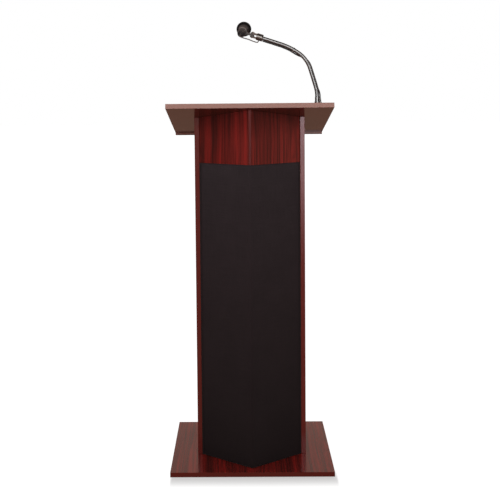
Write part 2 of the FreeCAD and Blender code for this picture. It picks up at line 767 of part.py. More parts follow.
def draw_spine(sketch, start, end):
    """Tangent arcs of the neck's line from start to end, blocked in place."""
    marks = [0.0]
    for length, turn in ARCS:
        marks.append(marks[-1] + length)
    # a mark close to an end would leave a sliver of an arc
    stops = [start] + [mark for mark in marks if start + 0.4 < mark < end - 0.4] + [end]
    for first, last in zip(stops, stops[1:]):
        x0, z0, heading0 = walk(first)
        x1, z1, heading1 = walk(last)
        begin, finish = Vector(x0, z0, 0), Vector(x1, z1, 0)
        if abs(heading1 - heading0) < 1e-4:
            curve = Part.LineSegment(begin, finish)
        else:
            middle_x, middle_z, heading = walk((first + last) / 2)
            curve = Part.Arc(begin, Vector(middle_x, middle_z, 0), finish)
        index = sketch.addGeometry(curve, False)
        sketch.addConstraint(Sketcher.Constraint("Block", index))


def neck_pipe(label, start, end, radius, side=0.0, rear=0.0):
    """Round bar swept along the neck's line, shifted by side in the neck's plane, rear in +Y."""
    body = new_body(label)
    path = new_sketch(body, "XZ_Plane", label + "_path")
    draw_spine(path, start, end)
    doc.recompute()
    x, z, heading = walk(start)
    profile = new_sketch(body, "XY_Plane", label + "_profile")
    profile.AttachmentOffset = Placement(Vector(x, 0, z), Rotation(Y, -math.degrees(heading)))
    circle = profile.addGeometry(Part.Circle(Vector(side, rear, 0), Z, radius.val), False)
    constrain(profile, "Radius", (circle,), radius, "bar_rad")
    if side == 0 and rear == 0:
        profile.addConstraint(Sketcher.Constraint("Coincident", circle, 3, -1, 1))
    else:
        constrain(profile, "DistanceX", (-1, 1, circle, 3), side, "side_shift")
        constrain(profile, "DistanceY", (-1, 1, circle, 3), rear, "rear_shift")
    doc.recompute()
    pipe = body.newObject("PartDesign::AdditivePipe", label + "_pipe")
    pipe.Profile = profile
    pipe.Spine = (path, [])
    doc.recompute()
    return body


def keep_on_neck(obj):
    keep(on_top(obj, dim.neck_x, dim.neck_y, 0))


def make_neck_flange():
    edge, thick = dim.flange_r, dim.flange_thick
    flange = turned("neck_flange", [
        (7.05, 0), (edge, 0), (edge, thick - 1), (edge - 1, thick),
        (10, thick), (10, 13), (9.2, 14), (7.05, 14)])
    pocket(flange, "XY_Plane", "screw_holes", 12, [], [(x, y, 1.7) for x, y in FLANGE_SCREWS],
           midplane=True)
    doc.recompute()
    keep_on_neck(flange)

    screw = turned("flange_screw_master", [
        (0, -11), (1.6, -9), (1.6, 0), (3.0, 0), (2.6, 1.2), (1.2, 1.7), (0, 1.7)])
    keep(copies("flange_screws", screw, [
        Placement(top_point(dim.neck_x.val + x, dim.neck_y.val + y, thick.val), TILT)
        for x, y in FLANGE_SCREWS]))


def make_neck_ferrule():
    end = dim.neck_foot - dim.joint_gap / 2
    sleeve = turned("ferrule_turned", [
        (0, 0.2), (7, 0.2), (7, 14.1), (9, 14.1), (9, 17.5), (7.4, 19),
        (7.4, 31), (6.9, 32.5), (6.9, end), (0, end)])
    joint = sphere("ferrule_ball", dim.ball_r, 0, 0, dim.neck_foot)
    keep_on_neck(fuse("neck_ferrule", sleeve, joint))


def make_neck_tubes():
    """Four lengths, each with a dish at its lower end; all but the last end in a ball."""
    gap = dim.joint_gap.val / 2
    for number in range(1, 5):
        start, end = JOINTS[number - 1], JOINTS[number]
        last = number == 4
        solid = neck_pipe("neck_length_%d" % number, start + gap, end if last else end - gap,
                          dim.tube_r)
        x, z, heading = walk(start)
        dish = sphere("neck_dish_%d" % number, dim.ball_r + dim.run_gap, x, 0, z)
        if not last:
            x, z, heading = walk(end)
            joint = sphere("neck_ball_%d" % number, dim.ball_r, x, 0, z)
            solid = fuse("neck_solid_%d" % number, solid, joint)
        keep_on_neck(cut("neck_tube_%d" % number, solid, dish))


def make_mic_cables():
    """The lead: behind the neck's two lower lengths, along the underside of the upper two."""
    offset = dim.tube_r.val + dim.cable_r.val + 0.15
    # distance left bare at the start and end of each length, side shift, rear shift
    runs = ((4, 4, 0, offset), (4, 4, 0, offset), (36, 4, -offset, 0), (4, 18, -offset, 0))
    for number, (bare_start, bare_end, side, rear) in enumerate(runs, start=1):
        start, end = JOINTS[number - 1] + bare_start, JOINTS[number] - bare_end
        keep_on_neck(neck_pipe("mic_cable_%d" % number, start, end, dim.cable_r, side, rear))


# ---------------------------------------------------------------- microphone jack and plug
def make_mic_jack():
    bore = dim.mini_bore
    low = 0.5 - dim.jack_hole
    jack = turned("mic_jack", [
        (bore, 2.5), (bore, low), (6, low), (6, 0.02), (7.5, 0.02), (7, 2.5)])
    keep(on_top(jack, dim.jack_x, dim.jack_y, 0))


def make_mic_plug():
    pin = dim.mini_bore - 0.1
    plug = turned("mic_plug", [
        (0, -12), (pin, -11), (pin, 2.6), (6.2, 2.6), (6.2, 20), (5.2, 21.5),
        (4.4, 21.5), (3.2, 38), (0, 38)])
    keep(on_top(plug, dim.jack_x, dim.jack_y, 0))


# ---------------------------------------------------------------- clip
NECK_IN_COLLAR = 10         # length of the neck's end inside the collar
EAR_THICK = 5
LUG_THICK = 6.8
PIVOT_R = 7                 # rounded end of an ear
PIVOT_HOLE_R = 2.1
ACROSS = Rotation(X, 90)    # lays a cylinder along the pivot, from its place towards -Y

# Foot of the collar, and the directions of the neck's end and of the microphone
tip_x, tip_z, tip_heading = walk(NECK_END - NECK_IN_COLLAR)
collar_foot = top_point(dim.neck_x.val + tip_x, dim.neck_y.val, tip_z)
neck_dir = TILT.multVec(Vector(-math.sin(tip_heading), 0, math.cos(tip_heading)))
mic_heading = math.radians(dim.mic_heading.val)
mic_elevation = math.radians(dim.mic_elevation.val)
mic_dir = Vector(math.cos(mic_elevation) * math.sin(mic_heading),
                 math.cos(mic_elevation) * math.cos(mic_heading), math.sin(mic_elevation))
pivot_dir = mic_dir.cross(neck_dir)
pivot_dir.normalize()
# from the pivot to the microphone's axis, square to the microphone
reach_dir = neck_dir - mic_dir * neck_dir.dot(mic_dir)
reach_dir.normalize()
clip_rotation = Rotation(pivot_dir.cross(neck_dir), pivot_dir, neck_dir, "ZYX")
mic_rotation = Rotation(reach_dir, pivot_dir, mic_dir, "ZYX")
pivot = collar_foot + neck_dir * dim.pivot_reach.val
grip_centre = pivot + reach_dir * dim.mic_reach.val


def make_clip_base():
    """Collar on the neck's end, with two ears that hold the pivot screw."""
    bore, outer, length = dim.tube_r + 0.05, dim.collar_r, dim.collar_len
    bore_end = NECK_IN_COLLAR + 0.2
    collar = turned("collar_turned", [
        (bore, 0), (outer - 1.5, 0), (outer, 1.5), (outer, length - 1.5),
        (outer - 1.5, length), (0, length), (0, bore_end), (bore, bore_end)])
    ears = []
    for number, y in ((1, -8.5), (3, 3.5)):
        ears.append(box("ear_bar_%d" % number, PIVOT_R * 2, EAR_THICK,
                        dim.pivot_reach - length + 2, -PIVOT_R, y, length - 2))
        ears.append(cylinder("ear_end_%d" % number, PIVOT_R, EAR_THICK,
                             0, y + EAR_THICK, dim.pivot_reach, ACROSS))
    hole = cylinder("clip_hole", PIVOT_HOLE_R, 30, 0, 15, dim.pivot_reach, ACROSS)
    base = cut("clip_base", fuse("clip_solid", collar, *ears), hole)
    base.Placement = Placement(collar_foot, clip_rotation)
    keep(base)


def make_clip_screw():
    screw = turned("clip_screw", [
        (0, -10.5), (2.0, -10.5), (2.0, 8.5), (4.4, 8.5), (4.4, 10.6), (3.6, 11.6), (0, 11.6)])
    screw.Placement = Placement(pivot, clip_rotation.multiply(Rotation(X, -90)))
    keep(screw)


# Below here, local Z is the microphone's axis, and the pivot lies on the local -X side.
def keep_on_mic(obj):
    obj.Placement = Placement(grip_centre, mic_rotation)
    keep(obj)


def make_clip_cradle():
    """Open ring round the grip, its mouth away from the pivot, with a lug between the ears."""
    reach, half_lug = dim.mic_reach, LUG_THICK / 2
    shell = cylinder("cradle_shell", dim.mic_r + 2.1, 26, 0, 0, -13)
    lug = box("lug_bar", reach - dim.mic_r, LUG_THICK, 13, -reach, -half_lug, -6.5)
    lug_end = cylinder("lug_end", 6.5, LUG_THICK, -reach, half_lug, 0, ACROSS)
    seat = cylinder("cradle_seat", dim.mic_r + dim.run_gap, 40, 0, 0, -20)
    mouth = box("cradle_mouth", 30, 17, 40, 3, -8.5, -20)
    lug_hole = cylinder("lug_hole", PIVOT_HOLE_R, 30, -reach, 15, 0, ACROSS)
    solid = fuse("cradle_solid", shell, lug, lug_end)
    keep_on_mic(cut("clip_cradle", solid, seat, mouth, lug_hole))


# ---------------------------------------------------------------- microphone
handle_end = dim.mic_ball_at - 19.5     # shoulder of the handle, where the grille's ring sits
HANDLE_END_R = 18.6
THROAT_R = 17


def make_mic_handle():
    grip, tail, end = dim.mic_r, -dim.mic_tail, handle_end
    handle = turned("handle_turned", [
        (0, tail), (9.5, tail), (10.8, tail + 1.5), (11.2, tail + 8), (grip, tail + 24),
        (grip, 32), (15.2, 44), (18, end - 6), (HANDLE_END_R, end - 4), (HANDLE_END_R, end),
        (16.95, end), (16.95, end + 3), (12, end + 3), (12, end - 12), (0, end - 12)])
    slot = box("switch_slot", 7, 3, 15, -3.5, grip - 2.2, 19.5)
    keep_on_mic(cut("mic_handle", handle, slot))


def make_mic_switch():
    switch = new_body("mic_switch")
    pad(switch, "YZ_Plane", "slider", 6.8, [[
        (-2.0, -4.5), (0, -4.5), (0.4, -3.2), (1.5, -2.6), (1.1, 0),
        (1.5, 2.6), (0.4, 3.2), (0, 4.5), (-2.0, 4.5)]], midplane=True)
    offset = mic_rotation.multVec(Vector(0, dim.mic_r.val, 25))
    switch.Placement = Placement(grip_centre + offset, mic_rotation)
    keep(switch)


def make_mic_grille():
    """Hollow ball with a band round it and a ring that sits on the handle."""
    centre, radius = dim.mic_ball_at, dim.mic_ball_r
    outside = sphere("grille_sphere", radius, 0, 0, centre)
    hollow = sphere("grille_hollow", radius - 1.3, 0, 0, centre)
    band = cylinder("grille_band", radius + 0.5, 5, 0, 0, centre - 2.5)
    throat = cylinder("grille_throat", THROAT_R, 20, 0, 0, centre - 30)
    ring = cylinder("grille_ring", HANDLE_END_R, 4, 0, 0, handle_end)
    ring_clear = cylinder("grille_ring_clear", THROAT_R, 30, 0, 0, handle_end - 10)
    solid = fuse("grille_solid", outside, band, ring)
    keep_on_mic(cut("mic_grille", solid, hollow, throat, ring_clear))


def make_mic_capsule():
    low = handle_end - 12
    keep_on_mic(turned("mic_capsule", [
        (0, low), (11.6, low), (11.6, handle_end + 14), (9, handle_end + 18),
        (0, handle_end + 18)]))


def make_mic_tail_plug():
    tail = -dim.mic_tail
    keep_on_mic(turned("mic_tail_plug", [
        (0, tail - 34), (3.4, tail - 34), (4.6, tail - 18), (7.5, tail - 16),
        (8.6, tail - 14), (8.6, tail), (0, tail)]))


# ---------------------------------------------------------------- build, check and export
for make in (
        make_base_plate, make_base_glides, make_base_screws, make_side_panels,
        make_upper_front, make_baffles, make_grille_frames, make_grille_cloth,
        make_loudspeakers, make_inner_boards, make_amp_fascia, make_control_panel,
        make_amp_chassis, make_circuit_board, make_transformer, make_potentiometers,
        make_knobs, make_power_switch, make_power_lamp, make_mains_inlet, make_line_jack,
        make_reading_top, make_paper_stop, make_top_brackets, make_neck_flange,
        make_neck_ferrule, make_neck_tubes, make_mic_cables, make_mic_jack, make_mic_plug,
        make_clip_base, make_clip_screw, make_clip_cradle, make_mic_handle, make_mic_switch,
        make_mic_grille, make_mic_capsule, make_mic_tail_plug):
    make()
doc.recompute()

failed = [obj.Name + ":" + ",".join(obj.State) for obj in doc.Objects
          if any(state in ("Invalid", "Error") for state in obj.State)]
if failed:
    raise RuntimeError("failed objects: " + "; ".join(failed))
for piece in pieces:
    if piece.Shape.isNull() or not piece.Shape.isValid() or not piece.Shape.Solids:
        raise RuntimeError("bad shape: " + piece.Label)

# The paper stop at the top's low edge stands out behind the base, so the centre of the whole
# footprint lies a little behind the centre of the base.
bounds = [piece.Shape.BoundBox for piece in pieces]
footprint_y = (min(b.YMin for b in bounds) + max(b.YMax for b in bounds)) / 2
os.makedirs("parts", exist_ok=True)
for piece in pieces:
    shape = piece.Shape.copy()
    shape.translate(Vector(0, -footprint_y, 0))
    shape.exportStep("parts/%s.step" % piece.Label)
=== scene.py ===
import bpy
import bmesh
import json
import math
import random
from mathutils import Matrix, Vector, noise


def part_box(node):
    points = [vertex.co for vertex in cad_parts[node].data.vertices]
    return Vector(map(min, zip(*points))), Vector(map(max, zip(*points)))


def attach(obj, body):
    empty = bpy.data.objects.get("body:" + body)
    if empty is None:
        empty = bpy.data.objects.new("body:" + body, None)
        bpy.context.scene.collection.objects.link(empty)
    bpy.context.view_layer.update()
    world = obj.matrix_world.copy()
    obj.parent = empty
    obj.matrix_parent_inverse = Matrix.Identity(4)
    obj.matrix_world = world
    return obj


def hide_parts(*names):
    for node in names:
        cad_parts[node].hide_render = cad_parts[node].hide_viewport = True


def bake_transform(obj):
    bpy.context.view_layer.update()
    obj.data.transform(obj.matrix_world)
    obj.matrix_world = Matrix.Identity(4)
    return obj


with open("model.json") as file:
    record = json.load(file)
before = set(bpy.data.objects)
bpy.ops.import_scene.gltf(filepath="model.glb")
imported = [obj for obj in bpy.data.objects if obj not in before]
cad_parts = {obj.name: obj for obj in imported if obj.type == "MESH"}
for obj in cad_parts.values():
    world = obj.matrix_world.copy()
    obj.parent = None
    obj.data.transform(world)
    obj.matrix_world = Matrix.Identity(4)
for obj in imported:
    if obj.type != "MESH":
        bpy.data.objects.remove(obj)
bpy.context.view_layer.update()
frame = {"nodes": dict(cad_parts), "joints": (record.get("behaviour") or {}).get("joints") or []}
scene = bpy.context.scene
NODES = frame["nodes"]
JOINT = {j["name"]: j for j in frame["joints"]}
rng = random.Random(7)

# ------------------------------------------------------------------ small helpers
TILT = math.radians(13.5)
CT, ST = math.cos(TILT), math.sin(TILT)
UP = Vector((0, ST, CT))            # square to the reading top
BACK = Vector((0, CT, -ST))         # down the slope, to the speaker
FOOT = Vector(JOINT["neck_swivel"]["pos_m"])
DY = FOOT.y + 0.153658             # the frame's origin lies a little behind the base's own centre


def link(ob):
    scene.collection.objects.link(ob)
    return ob


def mesh_object(name, verts, faces, smooth=True):
    me = bpy.data.meshes.new(name)
    me.from_pydata([tuple(v) for v in verts], [], faces)
    me.update()
    bm = bmesh.new()
    bm.from_mesh(me)
    bmesh.ops.recalc_face_normals(bm, faces=bm.faces)
    bm.to_mesh(me)
    bm.free()
    for p in me.polygons:
        p.use_smooth = smooth
    return link(bpy.data.objects.new(name, me))


def neck_point(x, y, z):
    """Point given in the neck's own frame: x towards +X, y down the slope, z square to the top, from the foot."""
    return FOOT + Vector((x, 0, 0)) + BACK * y + UP * z


FOOT_LEN = 0.036
ARCS = [(0.034, 14.7), (0.067, 1.35), (0.067, 37.4), (0.067, 17.0), (0.066, 1.3), (0.010, 0.0)]
MARKS = [0.0, 0.075, 0.150, 0.225, 0.311]


def walk(dist):
    x, z, phi, left = 0.0, FOOT_LEN, 0.0, dist
    if dist < 0:
        return 0.0, FOOT_LEN + dist, 0.0
    for length, turn in ARCS:
        step = min(left, length)
        if step <= 0:
            break
        a = math.radians(turn) * step / length
        if abs(a) < 1e-9:
            x -= step * math.sin(phi)
            z += step * math.cos(phi)
        else:
            r = step / a
            x -= r * (math.cos(phi) - math.cos(phi + a))
            z += r * (math.sin(phi + a) - math.sin(phi))
            phi += a
        left -= step
    return x, z, phi


def neck_frame(s):
    """Centre, heading, inside-of-bend direction and rear direction of the neck at s metres above its foot."""
    x, z, phi = walk(s)
    c = neck_point(x, 0, z)
    t = Vector((-math.sin(phi), 0, 0)) + UP * math.cos(phi)
    inner = Vector((-math.cos(phi), 0, 0)) - UP * math.sin(phi)
    return c, t, inner, BACK.copy()


def tube(name, stations, ring=20, cap_start=False, cap_end=False):
    """Skin through stations of (centre, side_a, side_b, radius)."""
    verts, faces = [], []
    for c, a, b, r in stations:
        for k in range(ring):
            w = 2 * math.pi * k / ring
            verts.append(c + a * (r * math.cos(w)) + b * (r * math.sin(w)))
    for i in range(len(stations) - 1):
        for k in range(ring):
            k2 = (k + 1) % ring
            faces.append((i * ring + k, i * ring + k2, (i + 1) * ring + k2, (i + 1) * ring + k))
    if cap_start:
        faces.append(tuple(reversed(range(ring))))
    if cap_end:
        n = (len(stations) - 1) * ring
        faces.append(tuple(n + k for k in range(ring)))
    return mesh_object(name, verts, faces)


def catmull(pts, per=10):
    """Smooth curve through the points."""
    out = []
    n = len(pts)
    for i in range(n - 1):
        p0 = pts[i - 1] if i > 0 else pts[i] * 2 - pts[i + 1]
        p1, p2 = pts[i], pts[i + 1]
        p3 = pts[i + 2] if i + 2 < n else pts[i + 1] * 2 - pts[i]
        for k in range(per):
            t = k / per
            out.append(0.5 * ((2 * p1) + (-p0 + p2) * t + (2 * p0 - 5 * p1 + 4 * p2 - p3) * t * t
                              + (-p0 + 3 * p1 - 3 * p2 + p3) * t * t * t))
    out.append(pts[-1].copy())
    return out


def cable_stations(path, radius, ref=None):
    """Stations with a frame carried along the path, so that the skin doesn't twist."""
    out = []
    n = len(path)
    ref = ref or Vector((0, 0, 1))
    t = (path[1] - path[0]).normalized()
    a = (ref - t * ref.dot(t)).normalized()
    for i in range(n):
        t = (path[min(i + 1, n - 1)] - path[max(i - 1, 0)]).normalized()
        a = (a - t * a.dot(t)).normalized()
        out.append((path[i], a.copy(), t.cross(a), radius))
    return out


def lathe(name, origin, zdir, profile, ring=64, xdir=None, close=True):
    """Turned piece: profile of (radius, height) pairs about zdir through origin."""
    zdir = zdir.normalized()
    ref = xdir or (Vector((1, 0, 0)) if abs(zdir.x) < 0.8 else Vector((0, 1, 0)))
    a = (ref - zdir * ref.dot(zdir)).normalized()
    b = zdir.cross(a)
    verts, faces, rows = [], [], []
    for r, h in profile:
        c = origin + zdir * h
        if r < 1e-7:
            verts.append(c)
            rows.append([len(verts) - 1])
        else:
            row = []
            for k in range(ring):
                w = 2 * math.pi * k / ring
                verts.append(c + a * (r * math.cos(w)) + b * (r * math.sin(w)))
                row.append(len(verts) - 1)
            rows.append(row)
    pairs = list(zip(rows, rows[1:]))
    if close and len(rows[0]) > 1:
        pairs.append((rows[-1], rows[0]))
    for p, q in pairs:
        for k in range(ring):
            k2 = (k + 1) % ring
            if len(p) == 1 and len(q) == 1:
                continue
            if len(p) == 1:
                faces.append((p[0], q[k2], q[k]))
            elif len(q) == 1:
                faces.append((p[k], p[k2], q[0]))
            else:
                faces.append((p[k], p[k2], q[k2], q[k]))
    return mesh_object(name, verts, faces)


def sharpen(ob, degrees=32):
    ob.data.set_sharp_from_angle(angle=math.radians(degrees))
    return ob


def modify(ob, kind, name, **props):
    m = ob.modifiers.new(name, kind)
    for k, v in props.items():
        setattr(m, k, v)
    return m


def soften(node, width, segments=2, angle=30):
    """Weld a CAD node's mesh and round its arrises, without touching the mesh itself."""
    ob = NODES[node]
    modify(ob, "WELD", "weld", merge_threshold=0.00001)
    modify(ob, "DECIMATE", "flats", decimate_type="DISSOLVE", angle_limit=math.radians(0.4))
    modify(ob, "BEVEL", "arris", width=width, segments=segments, limit_method="ANGLE",
           angle_limit=math.radians(angle), harden_normals=False)
    for p in ob.data.polygons:
        p.use_smooth = False
    return ob


def clean(node, degrees=30):
    """Weld a turned CAD node's mesh; its faces are left flat-shaded."""
    ob = NODES[node]
    modify(ob, "WELD", "weld", merge_threshold=0.00001)
    for p in ob.data.polygons:
        p.use_smooth = False
    return ob


# ------------------------------------------------------------------ materials
class Graph:
    def __init__(self, name):
        self.mat = bpy.data.materials.new(name)
        self.mat.use_nodes = True
        self.nt = self.mat.node_tree
        self.nt.nodes.clear()
        self.out = self.nt.nodes.new("ShaderNodeOutputMaterial")
        self.bsdf = self.nt.nodes.new("ShaderNodeBsdfPrincipled")
        self.nt.links.new(self.bsdf.outputs[0], self.out.inputs[0])

    def times(self, colour, value):
        n = self.node("Mix", data_type="RGBA", blend_type="MULTIPLY")
        n.inputs[0].default_value = 1.0
        self.plug(colour, n.inputs[6])
        self.plug(self.join(value, value, value), n.inputs[7])
        return n.outputs[2]

    def node(self, kind, **props):
        n = self.nt.nodes.new("ShaderNode" + kind)
        for k, v in props.items():
            setattr(n, k, v)
        return n

    def plug(self, value, socket):
        if hasattr(value, "is_output") or isinstance(value, bpy.types.NodeSocket):
            self.nt.links.new(value, socket)
        else:
            socket.default_value = value

    def set(self, **inputs):
        for k, v in inputs.items():
            self.plug(v, self.bsdf.inputs[k.replace("_", " ")])

    def math(self, op, a, b=0.0, c=0.0, clamp=False):
        n = self.node("Math", operation=op, use_clamp=clamp)
        self.plug(a, n.inputs[0])
        self.plug(b, n.inputs[1])
        self.plug(c, n.inputs[2])
        return n.outputs[0]

    def coords(self):
        return self.node("TexCoord").outputs["Object"]

    def split(self, vec):
        n = self.node("SeparateXYZ")
        self.plug(vec, n.inputs[0])
        return n.outputs[0], n.outputs[1], n.outputs[2]

    def join(self, x, y, z):
        n = self.node("CombineXYZ")
        for i, v in enumerate((x, y, z)):
            self.plug(v, n.inputs[i])
        return n.outputs[0]

    def noise(self, vec, scale=1.0, detail=2.0, rough=0.5, distort=0.0):
        n = self.node("TexNoise")
        self.plug(vec, n.inputs["Vector"])
        n.inputs["Scale"].default_value = scale
        n.inputs["Detail"].default_value = detail
        n.inputs["Roughness"].default_value = rough
        n.inputs["Distortion"].default_value = distort
        return n.outputs["Fac"] if "Fac" in n.outputs else n.outputs[0]

    def ramp(self, fac, stops, interp="LINEAR"):
        n = self.node("ValToRGB")
        n.color_ramp.interpolation = interp
        els = n.color_ramp.elements
        while len(els) > 1:
            els.remove(els[-1])
        els[0].position, els[0].color = stops[0][0], tuple(stops[0][1]) + (1,)
        for p, c in stops[1:]:
            e = els.new(p)
            e.color = tuple(c) + (1,)
        self.plug(fac, n.inputs[0])
        return n.outputs[0]

    def remap(self, v, a, b, c, d, smooth=False):
        n = self.node("MapRange", interpolation_type="SMOOTHSTEP" if smooth else "LINEAR")
        self.plug(v, n.inputs[0])
        for i, k in enumerate((a, b, c, d)):
            n.inputs[i + 1].default_value = k
        return n.outputs[0]

    def mix(self, fac, a, b, blend="MIX"):
        n = self.node("Mix", data_type="RGBA", blend_type=blend)
        self.plug(fac, n.inputs[0])
        for v, i in ((a, 6), (b, 7)):
            if isinstance(v, tuple) and len(v) == 3:
                v = v + (1.0,)
            self.plug(v, n.inputs[i])
        return n.outputs[2]

    def bump(self, height, strength, dist, prev=None):
        n = self.node("Bump")
        n.inputs["Strength"].default_value = strength
        n.inputs["Distance"].default_value = dist
        self.plug(height, n.inputs["Height"])
        if prev is not None:
            self.plug(prev, n.inputs["Normal"])
        return n.outputs[0]

    def normal(self):
        """The surface's own direction, in the row frame at rest."""
        n = self.node("VectorTransform", vector_type="NORMAL", convert_from="WORLD", convert_to="OBJECT")
        self.plug(self.node("NewGeometry").outputs["Normal"], n.inputs[0])
        return self.split(n.outputs[0])


def paint(ob, graph_or_mat):
    m = graph_or_mat.mat if isinstance(graph_or_mat, Graph) else graph_or_mat
    ob.data.materials.clear()
    ob.data.materials.append(m)
    for p in ob.data.polygons:
        p.material_index = 0
    return ob


def mahogany(name, grain="Z", seed=0.0, shade=1.0, rough=0.22, band=None, band_rgb=(0.105, 0.0135, 0.0100), underside=None,
             coat=0.0, coat_rough=0.10, lines=1.0, contrast=1.0, streak=1.0, spec=0.5, seam_shade=False, glow=None, brown=1.0, bands=0.50,
             figure=0.34):
    """Printed dark red mahogany laminate: long soft streaks, a broken cathedral figure, fine fibre lines and short pores.
    band names the directions whose narrow faces carry a plain edge band."""
    g = Graph(name)
    x, y, z = g.split(g.coords())
    if grain == "Z":
        u, v, w = x, y, z
    elif grain == "Y":
        u, v, w = x, z, y
    else:
        u, v, w = y, z, x
    across = g.math("ADD", g.math("MULTIPLY_ADD", v, 0.42, u), seed)
    sway = g.noise(g.join(g.math("MULTIPLY", across, 7.0), seed, g.math("MULTIPLY", w, 2.6)), 1.0, 2.0, 0.55)
    lean = g.math("MULTIPLY_ADD", g.math("SUBTRACT", sway, 0.5), 0.030, across)
    broad = g.noise(g.join(g.math("MULTIPLY", lean, 46.0 * streak), seed * 3.1, g.math("MULTIPLY", w, 1.5)), 1.0, 2.0, 0.5)
    medium = g.noise(g.join(g.math("MULTIPLY", lean, 150.0 * streak), seed * 5.3, g.math("MULTIPLY", w, 3.4)), 1.0, 2.5, 0.6)
    fine = g.noise(g.join(g.math("MULTIPLY", across, 900.0), seed, g.math("MULTIPLY", w, 14.0)), 1.0, 2.0, 0.6)
    # broken figure: short leaning flames between the streaks
    flame = g.noise(g.join(g.math("MULTIPLY", lean, 80.0), seed * 7.7, g.math("MULTIPLY", w, 13.0)), 1.0, 3.0, 0.55, 0.8)
    where = g.remap(g.noise(g.join(g.math("MULTIPLY", across, 5.0), seed * 2.0, g.math("MULTIPLY", w, 1.2)), 1.0, 1.0, 0.5), 0.45, 0.62, 0.0, 1.0, True)
    tone = g.math("MULTIPLY", broad, bands)
    tone = g.math("MULTIPLY_ADD", medium, 0.30 * lines, tone)
    tone = g.math("MULTIPLY_ADD", fine, 0.08 * lines, tone)
    tone = g.math("ADD", tone, g.math("MULTIPLY", g.math("SUBTRACT", flame, 0.5), g.math("MULTIPLY", where, figure)))
    mid = 0.5 * bands + 0.15 * lines + 0.04 * lines
    k = contrast
    s = shade
    b = s * brown
    colour = g.ramp(tone, [(mid - 0.085 / k, (0.040 * s, 0.0062 * b, 0.0052 * b)), (mid - 0.030 / k, (0.072 * s, 0.0076 * b, 0.0062 * b)),
                           (mid + 0.030 / k, (0.118 * s, 0.0092 * b, 0.0074 * b)), (mid + 0.090 / k, (0.178 * s, 0.0112 * b, 0.0090 * b))])
    # pores: short dark ticks along the grain
    pore = g.node("TexVoronoi", feature="F1")
    g.plug(g.join(g.math("MULTIPLY", across, 520.0), g.math("MULTIPLY", v, 520.0), g.math("MULTIPLY", w, 40.0)), pore.inputs["Vector"])
    pore.inputs["Scale"].default_value = 1.0
    tick = g.remap(pore.outputs["Distance"], 0.10, 0.28, 0.60, 1.0, True)
    dark = g.node("Mix", data_type="RGBA", blend_type="MULTIPLY")
    dark.inputs[0].default_value = 0.5
    g.plug(colour, dark.inputs[6])
    g.plug(g.join(tick, tick, tick), dark.inputs[7])
    colour = dark.outputs[2]
    if glow:
        # the sheet is redder and brighter towards one side
        x0, x1, g0, g1 = glow
        lift = g.remap(g.math("MULTIPLY_ADD", g.math("SUBTRACT", sway, 0.5), 0.08, x), x0, x1, g0, g1, True)
        colour = g.times(colour, lift)
    if seam_shade:
        # painted shade: darker towards the top, under the reading top's overhang, and in the joints beside the side
        # panels
        colour = g.times(colour, g.remap(z, 1.13, 1.235, 1.0, 0.58, True))
        colour = g.times(colour, g.remap(x, 0.1695, 0.1752, 1.0, 0.30, True))
        colour = g.times(colour, g.remap(x, -0.1715, -0.1752, 1.0, 0.65, True))
    mx, my, mz = g.normal()
    mott = g.noise(g.coords(), 34.0, 3.0, 0.55)
    if band:
        parts = None
        for axis in band:
            src = {"X": mx, "Y": my, "Z": mz}[axis[-1]]
            if axis.startswith("-"):
                src = g.math("MULTIPLY", src, -1.0)
            m1 = g.remap(src, 0.80, 0.92, 0.0, 1.0)
            parts = m1 if parts is None else g.math("MAXIMUM", parts, m1)
        b0 = tuple(c * 0.95 for c in band_rgb)
        b1 = tuple(c * 1.05 for c in band_rgb)
        plain = g.ramp(mott, [(0.3, b0), (0.7, b1)])
        colour = g.mix(parts, colour, plain)
    if underside:
        # the underside is a plain brown balancing sheet; on the paper stop this slot carries a near-black painted shade
        below = g.remap(mz, -0.80, -0.90, 0.0, 1.0)
        plain2 = g.ramp(mott, [(0.3, tuple(c * 0.96 for c in underside)), (0.7, tuple(c * 1.04 for c in underside))])
        colour = g.mix(below, colour, plain2)
    # handling has dulled the arrises slightly
    edge = g.node("Bevel", samples=4)
    edge.inputs["Radius"].default_value = 0.0010
    nx, ny, nz = g.split(edge.outputs[0])
    ox, oy, oz = g.split(g.node("NewGeometry").outputs["Normal"])
    same = g.math("MULTIPLY_ADD", nx, ox, g.math("MULTIPLY_ADD", ny, oy, g.math("MULTIPLY", nz, oz)))
    worn = g.remap(same, 0.995, 0.88, 0.0, 0.30, True)
    grime = g.noise(g.coords(), 26.0, 3.0, 0.6)
    worn = g.math("MULTIPLY", worn, g.remap(grime, 0.40, 0.65, 0.10, 1.0, True))
    colour = g.mix(worn, colour, (0.20, 0.070, 0.050))
    smear = g.noise(g.coords(), 7.0, 4.0, 0.6)
    g.set(Base_Color=colour, Roughness=g.remap(smear, 0.3, 0.7, rough - 0.02, rough + 0.04), IOR=1.5,
          Specular_IOR_Level=spec, Coat_Weight=coat, Coat_Roughness=coat_rough, Coat_IOR=1.5,
          Normal=g.bump(g.math("MULTIPLY_ADD", tick, 0.5, fine), 0.06, 0.00010))
    return g


